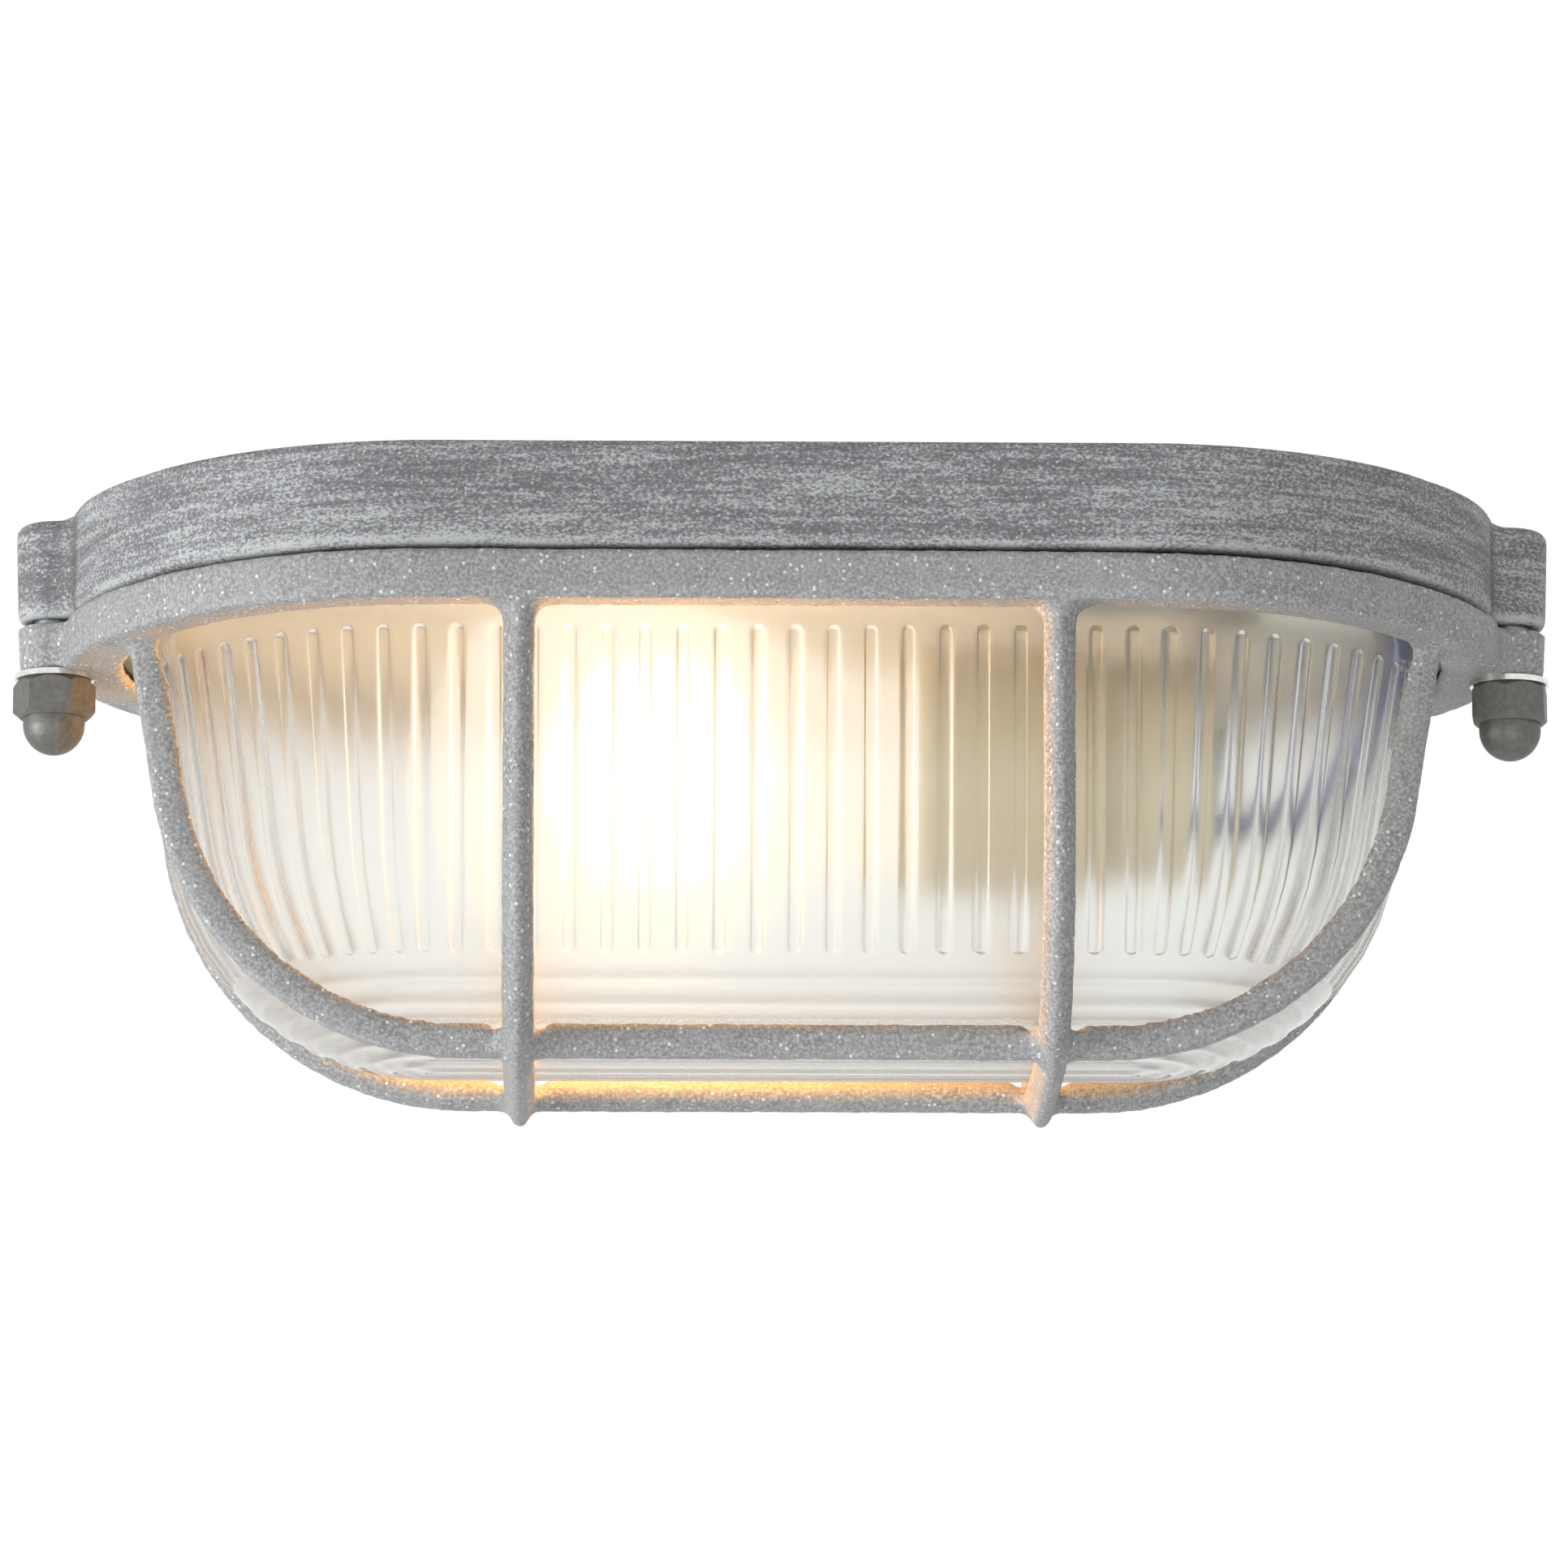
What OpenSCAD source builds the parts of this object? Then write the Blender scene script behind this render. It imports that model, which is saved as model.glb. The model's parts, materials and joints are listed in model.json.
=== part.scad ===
/* [Oval outline] */
// Half of the straight length that every oval of the lamp shares
half_straight = 47.6; // [42:0.1:56]
// End radius of the cage flange
flange_r = 51; // [49:0.1:54]
// How far the base casting stands back from the edge of the flange
base_inset = 0.8; // [0.2:0.1:1.2]
// Width of the flange, from its edge to the opening that the glass comes through
flange_w = 6.8; // [6.4:0.1:7.4]

/* [Base casting] */
// Height of the base casting
base_h = 14.8; // [13:0.1:24]
// Thickness of the base floor
base_floor = 3.2; // [2.5:0.1:4]
// Width of the base rim that carries the gasket
base_rim = 5.5; // [4.8:0.1:5.8]
// Draft of the inner wall, from the rim to the floor
base_draft = 1; // [0.5:0.1:2]
// Bevel round the lower edge of the base
edge_bevel = 0.6; // [0.2:0.1:1]

/* [End lugs] */
// Distance of each stud from the end of the flange
stud_out = 2.9; // [2.4:0.1:6]
// Radius of the base lugs at their top
lug_r = 5.6; // [5.4:0.1:6.5]
// How much narrower each lug is at its lower end than at its top
lug_draft = 0.4; // [0:0.1:0.6]
// Bevel round the top of the base lugs
lug_bevel = 1; // [0.4:0.1:1.6]
// How far the top of each base lug lies below the mounting face
lug_drop = 0.7; // [0.4:0.1:3]
// How far each end swells out of the oval towards its lug
end_swell = 1.5; // [0.8:0.1:2.4]
// How much tighter the swell is curved than the end of the oval
swell_tight = 5.8; // [3:0.1:8]
// Half width of each lug where it leaves the swell
lug_root = 9.5; // [7:0.5:12]

/* [Joint between base and cage] */
// Open seam between the base rim and the cage flange
seam = 0.5; // [0.3:0.1:1.2]
// Thickness of the upper gasket
gasket_t = 2; // [1.5:0.1:3]
// Thickness of the lower gasket under the glass rim
seat_t = 0.5; // [0.3:0.1:1]
// Side clearance between the gaskets, the glass rim and the recess
rim_play = 0.3; // [0.2:0.05:0.6]

/* [Cage casting] */
// Thickness of the lip that holds the glass rim up
lip_t = 1.7; // [1.4:0.1:3]
// Wall outside the recess
recess_wall = 2.8; // [2.4:0.1:3.2]
// Distance of each long hoop from the side of the opening
hoop_side = 24; // [21:0.1:27]
// How far the hoops reach below the glass
hoop_under = 4; // [3.6:0.1:6]
// How far the bends of the hoops stand in from the end of the opening
hoop_in = 4.5; // [3.5:0.1:6]
// How much wider the hoops are bent than the shoulder of the glass
hoop_wide = 8.7; // [6.5:0.1:11]
// Slope of the hoop legs away from upright
hoop_slope = 9.5; // [8:0.1:10]
// Radial depth of the hoops on their outer side
hoop_depth = 4.1; // [3:0.1:4.6]
// How much shallower the hoops are on their inner side
hoop_lean = 1.2; // [0.6:0.1:1.6]
// Width of the hoops on the glass side
hoop_w = 4.2; // [3.6:0.1:4.4]
// Distance of each cross bar from the end of the straight middle
bar_end = 11.1; // [8:0.1:16]
// How far the cross bars reach below the glass
bar_under = 6.3; // [6:0.1:8]
// How far the bends of the bars stand out from the side of the opening
bar_out = 2.8; // [2:0.1:4]
// How much tighter the bars are bent than the shoulder of the glass
bar_tight = 1.5; // [0:0.1:3]
// Slope of the bar legs away from upright
bar_slope = 5; // [4:0.1:7]
// Radial depth of the bars
bar_depth = 5; // [4:0.1:5.4]
// Width of the bars
bar_w = 4.5; // [3.6:0.1:6]
// Height of the keel on the outside of the bars
bar_keel = 2.3; // [1.4:0.1:2.8]

/* [Glass] */
// Wall thickness of the glass
glass_t = 3; // [2.4:0.1:3.6]
// Thickness of the glass rim
glass_rim_t = 3; // [2.4:0.1:4]
// Gap between the glass and the cage opening, at the lower face of the flange
glass_gap = 2.4; // [2.2:0.1:3]
// Draft of the glass wall
glass_draft = 10; // [9.5:0.1:12]
// How much tighter the shoulder of the glass is than its end at the flange
shoulder_in = 7.3; // [6.9:0.1:9.8]
// Radius of the crown under the glass
crown_r = 110; // [90:5:160]
// Lowest level of the glass below the mounting face
glass_bottom = 75.7; // [74:0.1:76]
// Spacing of the rings under the glass
ring_pitch = 4.4; // [4:0.1:4.8]
// Number of rings under the glass
ring_count = 6; // [3:1:6]
// Radius of each ring's half-round ridge
ridge_r = 1.1; // [0.8:0.05:1.2]
// How far each ridge stands out of the glass
ridge_h = 0.4; // [0.3:0.05:0.5]
// Number of ribs along each straight side of the glass
rib_side = 19; // [15:1:21]
// Number of ribs round each end of the glass
rib_end = 26; // [20:1:28]
// Width of the ribs
rib_w = 2; // [1.4:0.1:2.4]
// How far each rib stands out of the glass
rib_h = 0.4; // [0.3:0.05:0.5]
// Gap between the flange and the upper ends of the ribs
rib_gap = 2; // [1:0.1:4]
// Height of the lower ends of the ribs above the bottom of the glass
rib_lift = 11; // [9:0.5:14]

/* [Studs, nuts and washers] */
// Outside diameter of the studs
stud_d = 6; // [5:0.5:6]
// Radial clearance between a stud and the nut or lug that it is screwed in
thread_play = 0.05; // [0.02:0.01:0.1]
// Radial clearance of the stud in the cage lug and in the washer
stud_play = 0.3; // [0.2:0.05:0.5]
// Thickness of the lock washers
washer_t = 0.8; // [0.6:0.1:1.2]
// Outside diameter of the lock washers
washer_d = 11; // [10.5:0.1:12]
// Inside diameter of the plain ring of the lock washers
washer_ring = 8.8; // [8:0.1:9.4]
// Number of teeth in a lock washer
tooth_count = 8; // [6:1:10]
// Distance across the flats of the cap nuts
nut_flats = 10; // [9:0.5:11]
// Height of the hexagon of the cap nuts
nut_hex = 5.4; // [4:0.1:6]
// Overall height of the cap nuts
nut_h = 10.5; // [9.5:0.1:12]
// Diameter of the dome of the cap nuts
nut_dome = 8.6; // [7.5:0.1:9]

/* [Lamp and lampholder] */
// Depth of the lamp axis below the mounting face
lamp_z = 35; // [33:0.5:37]
// Space between the lampholder's bracket and the terminal block
holder_gap = 6.5; // [5:0.5:10]
// Length of the lampholder
holder_len = 40; // [36:0.5:42]
// Radius of the lampholder's skirt
holder_r = 17.5; // [16.5:0.1:18.5]
// Radius of the lampholder's bore
holder_bore = 14.5; // [14.3:0.1:15]
// Depth of the lampholder's bore
holder_deep = 29.5; // [28.5:0.5:31]
// Wall of the threaded sleeve
sleeve_t = 0.8; // [0.5:0.1:1]
// Radius of the bulb's cap
cap_r = 13.1; // [12.8:0.1:13.2]
// Length of the bulb's cap
cap_len = 26; // [24:0.5:27]
// Diameter of the bulb's glass
bulb_d = 55; // [45:0.5:57]
// Length of the bulb from cap to crown, without the cap
bulb_len = 70; // [64:0.5:74]
// Thickness of the lampholder bracket
bracket_t = 1.5; // [1.2:0.1:2]
// Width of the lampholder bracket
bracket_w = 24; // [20:0.5:28]
// Length of the bracket's foot
foot_len = 20; // [17:0.5:22]

/* [Wiring] */
// Length of the terminal block across the lamp
block_l = 27; // [24:0.5:30]
// Width of the terminal block along the lamp
block_w = 15; // [13:0.5:15.5]
// Height of the terminal block
block_h = 12; // [10.5:0.5:14]
// Space between the terminal block and the end of the glass
block_gap = 5.4; // [4.6:0.1:7]
// Diameter of the screws that hold the lampholder and the earth wire
screw_d = 4; // [3:0.5:5]
// Diameter of the wires
wire_d = 2.4; // [1.8:0.1:2.6]
// Radius of the cable entry in the base
entry_r = 7; // [6:0.5:8]
// Place of the cable entry along the lamp
entry_x = 28; // [20:0.5:30]
// Distance of the cable entry from the middle
entry_y = 24; // [22:0.5:26]
// Distance between the two fixing holes
fixing_pitch = 66; // [62:0.5:70]
// Diameter of the fixing holes
fixing_d = 5; // [4:0.5:5.5]
// How far the earth screw stands in from the terminal block
earth_in = 5; // [4:0.1:6]
// Thickness of the earth tag
tag_t = 1; // [0.8:0.1:1.2]
// Length of the tail of the earth tag, from its screw
tag_reach = 5.5; // [5:0.1:6.5]
// Height of the bosses on the base floor
boss_h = 2; // [1:0.1:3]

/* [Hidden] */
$fn = 64;
eps = 0.01;

// Levels below the mounting face
rim_z = -base_h;
flange_top = rim_z - seam;
glass_rim_top = rim_z - gasket_t;
glass_rim_low = glass_rim_top - glass_rim_t;
lip_top = glass_rim_low - seat_t;
flange_low = lip_top - lip_t;
flange_t = flange_top - flange_low;
washer_z = flange_low - washer_t;

// Radii of the joint between base and cage
base_r = flange_r - base_inset;
open_r = flange_r - flange_w;
hoop_y = open_r - hoop_side;
hoop_bottom = glass_bottom + hoop_under;
bar_bottom = glass_bottom + bar_under;
bar_x = half_straight - bar_end;
stud_x = half_straight + flange_r + stud_out;
cavity_r = base_r - base_rim;
recess_r = flange_r - recess_wall;
rim_r = recess_r - rim_play;
gasket_in = cavity_r + rim_play;
glass_top_r = open_r - glass_gap;
shoulder_r = glass_top_r - shoulder_in;
hoop_bend = shoulder_r + hoop_wide;
hoop_flat = half_straight + open_r - hoop_bend - hoop_in;
bar_bend = shoulder_r - bar_tight;
bar_flat = open_r - bar_bend + bar_out;

// Profile of the glass: wall, shoulder arc and crown arc, each tangent to the next
shoulder_c = crown_centre_r();
shoulder_z = -glass_bottom + crown_r
    - sqrt(pow(crown_r - shoulder_r, 2) - pow(shoulder_c, 2));
wall_foot = [
    shoulder_c + shoulder_r * cos(glass_draft),
    shoulder_z - shoulder_r * sin(glass_draft)
];
wall_tan = tan(glass_draft);

// Place of the shoulder's centre that puts the drafted wall on its radius at the flange
function wall_radius(c, z) =
    c + shoulder_r * cos(glass_draft)
    + (z - (shoulder_level(c) - shoulder_r * sin(glass_draft))) * tan(glass_draft);
function shoulder_level(c) =
    -glass_bottom + crown_r - sqrt(pow(crown_r - shoulder_r, 2) - c * c);
function crown_centre_r(c = 9, n = 12) =
    n == 0 ? c : crown_centre_r(c + glass_top_r - wall_radius(c, flange_low), n - 1);

// Hardware
nut_corner = nut_flats / cos(30);
stud_top = -lug_drop - 2.5;
stud_len = 25.3;
screw_r = screw_d / 2;
head_r = 0.9 * screw_d;
head_h = 0.55 * screw_d;
screw_grip = 0.8 * screw_d;
screw_reach = 1.75 * screw_d;
end_in = half_straight + glass_top_r - glass_t;
block_x = end_in - block_gap - block_w;
holder_back = block_x - holder_gap - bracket_t;
mouth_x = holder_back - holder_len;
contact_x = mouth_x + holder_deep;
lead_y = 0.23 * holder_r;
lead_z = 0.46 * holder_r;
foot_top = -base_floor - boss_h;
foot_x = holder_back + bracket_t - foot_len;
foot_screw_x = foot_x + 5;
foot_screw_y = 7;
holder_screw_y = 9;
way_pitch = block_l / 3;
block_z = -base_floor - block_h;
way_z = -base_floor - 0.52 * block_h;
way_r = 1.7;
earth_x = block_x - earth_in;
earth_y = 2 * block_w;
earth_top = -base_floor - boss_h;
bulb_r = bulb_d / 2;
cap_end = contact_x - 2.5;
sleeve_in = holder_bore - sleeve_t;

casting = [0.55, 0.56, 0.57];

// An oval of two half circles and a straight middle
module oval(r) {
    for (s = [-1, 1])
        translate([s * half_straight, 0]) circle(r = r);
    square([2 * half_straight, 2 * r], center = true);
}

module oval_plate(r, z_low, z_high) {
    translate([0, 0, z_low]) linear_extrude(z_high - z_low) oval(r);
}

// Carries a profile drawn as radius and height round the oval
module oval_sweep() {
    for (s = [0, 180])
        rotate([0, 0, s]) {
            translate([half_straight, 0, 0])
                rotate([0, 0, -90]) rotate_extrude(angle = 180) children();
            translate([-half_straight, 0, 0])
                rotate([90, 0, 90]) linear_extrude(2 * half_straight) children();
        }
}

// Swollen end of the casting and the root of its lug, outside the oval of radius r
module end_plan(r, lug, inner) {
    tip = half_straight + r + end_swell;
    difference() {
        union() {
            intersection() {
                translate([tip - r + swell_tight, 0]) circle(r = r - swell_tight);
                translate([half_straight + 0.5 * r, -r]) square([r, 2 * r]);
            }
            polygon([
                [tip - 8, -lug_root], [tip - 2.2, -lug_root], [tip, -lug - 0.9],
                [stud_x, -lug + 0.1], [stud_x, lug - 0.1], [tip, lug + 0.9],
                [tip - 2.2, lug_root], [tip - 8, lug_root]
            ]);
        }
        oval(inner);
    }
}

// Round lug, narrower at its lower end
module lug(r, high) {
    translate([stud_x, 0, 0]) cylinder(r1 = r - lug_draft, r2 = r, h = high);
}

module both_ends() {
    for (s = [0, 180])
        rotate([0, 0, s]) children();
}

// Sweeps a section along a flat bottom, two bends and two sloping legs.
// The section has its outer side at x = 0 and its depth towards negative x.
// Each leg is thinner by a hair than its bend, which it laps inside by 1 mm.
module bent_band(bottom, flat, bend, slope, top, depth) {
    turn = 90 - slope;
    leg = (top + bottom - bend + bend * cos(turn)) / sin(turn);
    translate([flat, 0, -bottom])
        rotate([0, 90, 180]) linear_extrude(2 * flat) children();
    for (s = [0, 1])
        mirror([s, 0, 0])
            translate([flat, 0, bend - bottom]) {
                rotate([90, 0, 0]) rotate([0, 0, -90])
                    rotate_extrude(angle = turn) translate([bend, 0]) children();
                rotate([0, -turn, 0]) translate([-1, 0, -bend])
                    rotate([0, 90, 0]) linear_extrude(leg + 1)
                        translate([-depth / 2, 0]) scale(0.985)
                            translate([depth / 2, 0]) mirror([0, 1]) children();
            }
}

module hoop_section() {
    half = hoop_w / 2;
    polygon([
        [hoop_lean - hoop_depth, -half], [-hoop_depth, half], [-0.5, half - 0.25],
        [0, half - 0.7], [0, -half + 1.4], [-1.15, -half + 0.15]
    ]);
}

module bar_section() {
    half = bar_w / 2;
    polygon([
        [-bar_depth, -half], [-bar_depth, half], [-bar_keel, half - 0.15],
        [-0.35, 0.75], [-0.08, 0.4], [-0.08, -0.4], [-0.35, -0.75], [-bar_keel, 0.15 - half]
    ]);
}

// Screw with a pan head, seated under z = 0 with its shank upwards
module pan_screw(r, len, head, high) {
    difference() {
        union() {
            translate([0, 0, -high]) cylinder(r = head, h = high);
            translate([0, 0, -eps]) cylinder(r = r, h = len + eps);
        }
        translate([-head, -0.4, -high - eps]) cube([2 * head, 0.8, 0.5 * high]);
    }
}

module base_housing() {
    color(casting) difference() {
        union() {
            oval_sweep() polygon([
                [0, 0], [base_r, 0], [base_r, rim_z + edge_bevel], [base_r - edge_bevel, rim_z],
                [cavity_r, rim_z], [cavity_r - base_draft, -base_floor], [0, -base_floor]
            ]);
            both_ends() translate([0, 0, rim_z]) {
                linear_extrude(base_h - lug_drop - lug_bevel)
                    end_plan(base_r, lug_r - lug_draft, base_r - 0.5 * base_rim);
                linear_extrude(base_h) intersection() {
                    end_plan(base_r, 0.5 * lug_r, base_r - 0.5 * base_rim);
                    circle(r = half_straight + base_r + end_swell);
                }
                lug(lug_r, base_h - lug_drop - lug_bevel);
                translate([stud_x, 0, base_h - lug_drop - lug_bevel])
                    cylinder(r1 = lug_r, r2 = lug_r - lug_bevel, h = lug_bevel);
            }
            base_bosses();
        }
        both_ends() translate([stud_x, 0, rim_z - eps])
            cylinder(r = stud_d / 2 + thread_play, h = stud_top - rim_z + eps);
        for (s = [-1, 1])
            translate([0, s * fixing_pitch / 2, -base_floor - boss_h - eps])
                cylinder(d = fixing_d, h = base_floor + boss_h + 2 * eps);
        translate([entry_x, -entry_y, -base_floor - eps])
            cylinder(r = entry_r, h = base_floor + 2 * eps);
        for (s = [-1, 1])
            translate([foot_screw_x, s * foot_screw_y, foot_top - eps])
                cylinder(r = screw_r + thread_play, h = 3.6);
        translate([earth_x, earth_y, earth_top - eps])
            cylinder(r = screw_r + thread_play, h = 3.6);
    }
}

module base_bosses() {
    for (s = [-1, 1]) {
        translate([0, s * fixing_pitch / 2, -base_floor - boss_h])
            cylinder(r = fixing_d / 2 + 2.2, h = boss_h + eps);
        translate([foot_screw_x, s * foot_screw_y, foot_top])
            cylinder(r = 4.2, h = boss_h + eps);
    }
    translate([earth_x, earth_y, earth_top]) cylinder(r = 4.2, h = boss_h + eps);
}

module base_gasket() {
    color([0.12, 0.12, 0.12]) difference() {
        oval_plate(rim_r, glass_rim_top, rim_z);
        oval_plate(gasket_in, glass_rim_top - eps, rim_z + eps);
    }
}

module glass_gasket() {
    color([0.12, 0.12, 0.12]) difference() {
        oval_plate(rim_r, lip_top, glass_rim_low);
        oval_plate(open_r + rim_play, lip_top - eps, glass_rim_low + eps);
    }
}

module cage() {
    color(casting) difference() {
        union() {
            oval_sweep() polygon([
                [open_r, flange_low + 0.5], [open_r + 0.5, flange_low],
                [flange_r - edge_bevel, flange_low], [flange_r, flange_low + edge_bevel],
                [flange_r, flange_top], [recess_r, flange_top], [recess_r, lip_top],
                [open_r, lip_top]
            ]);
            both_ends() translate([0, 0, flange_low]) {
                linear_extrude(flange_t)
                    end_plan(flange_r, lug_r - 2 * lug_draft, flange_r - 0.5 * recess_wall);
                lug(lug_r - lug_draft, flange_t);
            }
            for (s = [0, 1])
                mirror([0, s, 0]) translate([0, -hoop_y, 0])
                    bent_band(hoop_bottom, hoop_flat, hoop_bend, hoop_slope,
                              flange_low + 0.5 * lip_t, hoop_depth)
                        hoop_section();
            for (s = [-1, 1])
                translate([s * bar_x, 0, 0]) rotate([0, 0, 90])
                    bent_band(bar_bottom, bar_flat, bar_bend, bar_slope,
                              flange_low + 0.5 * lip_t, bar_depth)
                        bar_section();
        }
        both_ends() translate([stud_x, 0, flange_low - eps])
            cylinder(r = stud_d / 2 + stud_play, h = flange_t + 2 * eps);
    }
}

// Half profile of the dome, made smaller all round by off
module dome_profile(off, top) {
    foot = [wall_foot[0] - off * cos(glass_draft), wall_foot[1] + off * sin(glass_draft)];
    polygon([
        [0, top], [foot[0] + (top - foot[1]) * wall_tan, top], foot,
        [shoulder_c, shoulder_z], [0, shoulder_z]
    ]);
    intersection() {
        translate([shoulder_c, shoulder_z]) circle(r = shoulder_r - off);
        polygon([
            [shoulder_c, shoulder_z],
            [shoulder_c + 2 * shoulder_r * cos(glass_draft - 4),
             shoulder_z - 2 * shoulder_r * sin(glass_draft - 4)],
            [shoulder_c + shoulder_r, shoulder_z - 3 * shoulder_r],
            [shoulder_c, shoulder_z - 3 * shoulder_r]
        ]);
    }
    intersection() {
        translate([0, crown_r - glass_bottom]) circle(r = crown_r - off);
        polygon([
            [0, shoulder_z], [shoulder_c, shoulder_z],
            [shoulder_c * crown_r / (crown_r - shoulder_r), -glass_bottom - 1],
            [0, -glass_bottom - 1]
        ]);
    }
}

// Plan of the ribs on one side of the glass and round one end
module rib_places() {
    for (i = [0 : rib_side - 1])
        translate([(i + 0.5) * 2 * half_straight / rib_side - half_straight, 0, 0])
            rotate([0, 0, 90]) children();
    for (i = [0 : rib_end - 1])
        translate([half_straight, 0, 0])
            rotate([0, 0, (i + 0.5) * 180 / rib_end - 90]) children();
}

// Thin skin outside the wall of the glass, between the two ends of a rib
module rib_profile() {
    intersection() {
        difference() {
            dome_profile(-rib_h, flange_low);
            dome_profile(0.6, flange_low + 1);
        }
        translate([shoulder_c, rib_lift - glass_bottom])
            square([60, glass_bottom - rib_lift + flange_low - rib_gap]);
    }
}

// Point on the outside of the dome at radius r
function dome_z(r) =
    r < shoulder_c * crown_r / (crown_r - shoulder_r)
    ? crown_r - glass_bottom - sqrt(crown_r * crown_r - r * r)
    : shoulder_z - sqrt(shoulder_r * shoulder_r - pow(r - shoulder_c, 2));

module glass_dome() {
    sink = ridge_r - ridge_h;
    color([0.85, 0.9, 0.9, 0.5]) both_ends() rib_places()
        rotate([90, 0, 0]) linear_extrude(rib_w, center = true) rib_profile();
    color([0.85, 0.9, 0.9, 0.5]) difference() {
        oval_sweep() {
            dome_profile(0, glass_rim_top);
            translate([0, glass_rim_low]) square([rim_r, glass_rim_t]);
            for (i = [1 : ring_count])
                translate([i * ring_pitch, dome_z(i * ring_pitch) + sink])
                    circle(r = ridge_r, $fn = 20);
        }
        oval_sweep() dome_profile(glass_t, glass_rim_top + eps);
    }
}

module lampholder_body() {
    color([0.86, 0.82, 0.72]) difference() {
        translate([mouth_x, 0, -lamp_z]) rotate([0, 90, 0]) {
            cylinder(r1 = holder_r - 0.8, r2 = holder_r, h = 0.8);
            translate([0, 0, 0.8 - eps]) cylinder(r = holder_r, h = 0.6 * holder_len);
            translate([0, 0, 0.5 * holder_len]) cylinder(r = holder_r - 2, h = 0.5 * holder_len);
        }
        translate([mouth_x - eps, 0, -lamp_z]) rotate([0, 90, 0])
            cylinder(r = holder_bore, h = holder_deep + eps);
        for (s = [-1, 1]) {
            translate([contact_x - eps, s * holder_screw_y, -lamp_z]) rotate([0, 90, 0])
                cylinder(r = screw_r + thread_play, h = holder_len);
            translate([contact_x - eps, s * lead_y, -lamp_z - lead_z]) rotate([0, 90, 0])
                cylinder(r = way_r, h = holder_len);
        }
    }
}

module lampholder_sleeve() {
    color([0.83, 0.69, 0.35]) translate([mouth_x + 2, 0, -lamp_z]) rotate([0, 90, 0])
        difference() {
            cylinder(r = holder_bore, h = holder_deep - 2);
            translate([0, 0, -eps]) cylinder(r = sleeve_in, h = holder_deep - 2 + 2 * eps);
        }
}

module centre_contact() {
    color([0.83, 0.69, 0.35]) translate([cap_end, -3, -lamp_z - 2.5]) {
        cube([0.5, 6, 5]);
        translate([0, 4, 0]) cube([contact_x - cap_end, 2, 5]);
    }
}

module lampholder_bracket() {
    low = -lamp_z - holder_r + 4;
    color([0.7, 0.71, 0.72]) difference() {
        union() {
            translate([holder_back, -bracket_w / 2, low])
                cube([bracket_t, bracket_w, foot_top - low]);
            translate([foot_x, -bracket_w / 2, foot_top - bracket_t])
                cube([foot_len, bracket_w, bracket_t]);
        }
        for (s = [-1, 1]) {
            translate([foot_screw_x, s * foot_screw_y, foot_top - bracket_t - eps])
                cylinder(r = screw_r + 0.2, h = bracket_t + 2 * eps);
            translate([holder_back - eps, s * holder_screw_y, -lamp_z]) rotate([0, 90, 0])
                cylinder(r = screw_r + 0.2, h = bracket_t + 2 * eps);
            translate([holder_back - eps, s * lead_y, -lamp_z - lead_z]) rotate([0, 90, 0])
                cylinder(r = way_r + 0.4, h = bracket_t + 2 * eps);
        }
    }
}

module bracket_screws() {
    color([0.75, 0.75, 0.76])
        for (s = [-1, 1])
            translate([foot_screw_x, s * foot_screw_y, foot_top - bracket_t])
                pan_screw(screw_r, bracket_t + screw_grip, head_r, head_h);
}

module lampholder_screws() {
    color([0.75, 0.75, 0.76])
        for (s = [-1, 1])
            translate([holder_back + bracket_t, s * holder_screw_y, -lamp_z])
                rotate([0, -90, 0]) pan_screw(screw_r, bracket_t + screw_reach, head_r, head_h);
}

module bulb() {
    crown_x = cap_end - cap_len - bulb_len;
    ball_x = crown_x + bulb_r;
    neck_x = cap_end - cap_len;
    neck_r = cap_r + 0.4;
    color([1, 0.93, 0.75]) translate([0, 0, -lamp_z]) rotate([0, 90, 0])
        rotate_extrude() {
            intersection() {
                translate([0, ball_x]) circle(r = bulb_r);
                translate([0, crown_x - 1]) square([bulb_r, 1 + bulb_r + 0.55 * bulb_r]);
            }
            polygon([
                [0, ball_x], [bulb_r * sqrt(1 - 0.55 * 0.55), ball_x + 0.55 * bulb_r],
                [0.72 * bulb_r, ball_x + 0.72 * bulb_r], [neck_r + 1, neck_x - 6],
                [neck_r, neck_x], [cap_r, neck_x + 1], [cap_r, cap_end - 6],
                [cap_r - 5, cap_end - 2], [4.8, cap_end - 1], [4.8, cap_end], [0, cap_end]
            ]);
        }
}

module terminal_block() {
    color([0.93, 0.93, 0.9]) difference() {
        translate([block_x, -block_l / 2, block_z]) cube([block_w, block_l, block_h]);
        for (i = [-1, 1], y = [-1, 1])
            translate([block_x - eps, 0.5 * i * way_pitch - 0.6, block_z - eps])
                cube([block_w + 2 * eps, 1.2, 0.35 * block_h]);
        for (i = [-1 : 1])
            translate([block_x - eps, i * way_pitch, way_z]) rotate([0, 90, 0])
                cylinder(r = way_r, h = block_w + 2 * eps);
        for (i = [-1 : 1], x = [0.27, 0.73])
            translate([block_x + x * block_w, i * way_pitch, block_z - eps])
                cylinder(r = 2, h = way_z - block_z);
    }
}

module terminal_screws() {
    color([0.83, 0.69, 0.35])
        for (i = [-1 : 1], x = [0.27, 0.73])
            translate([block_x + x * block_w, i * way_pitch, block_z + 1])
                difference() {
                    cylinder(r = 1.9, h = way_z - block_z - 1 - way_r + 0.4);
                    translate([-2, -0.3, -eps]) cube([4, 0.6, 0.7]);
                }
}

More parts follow.
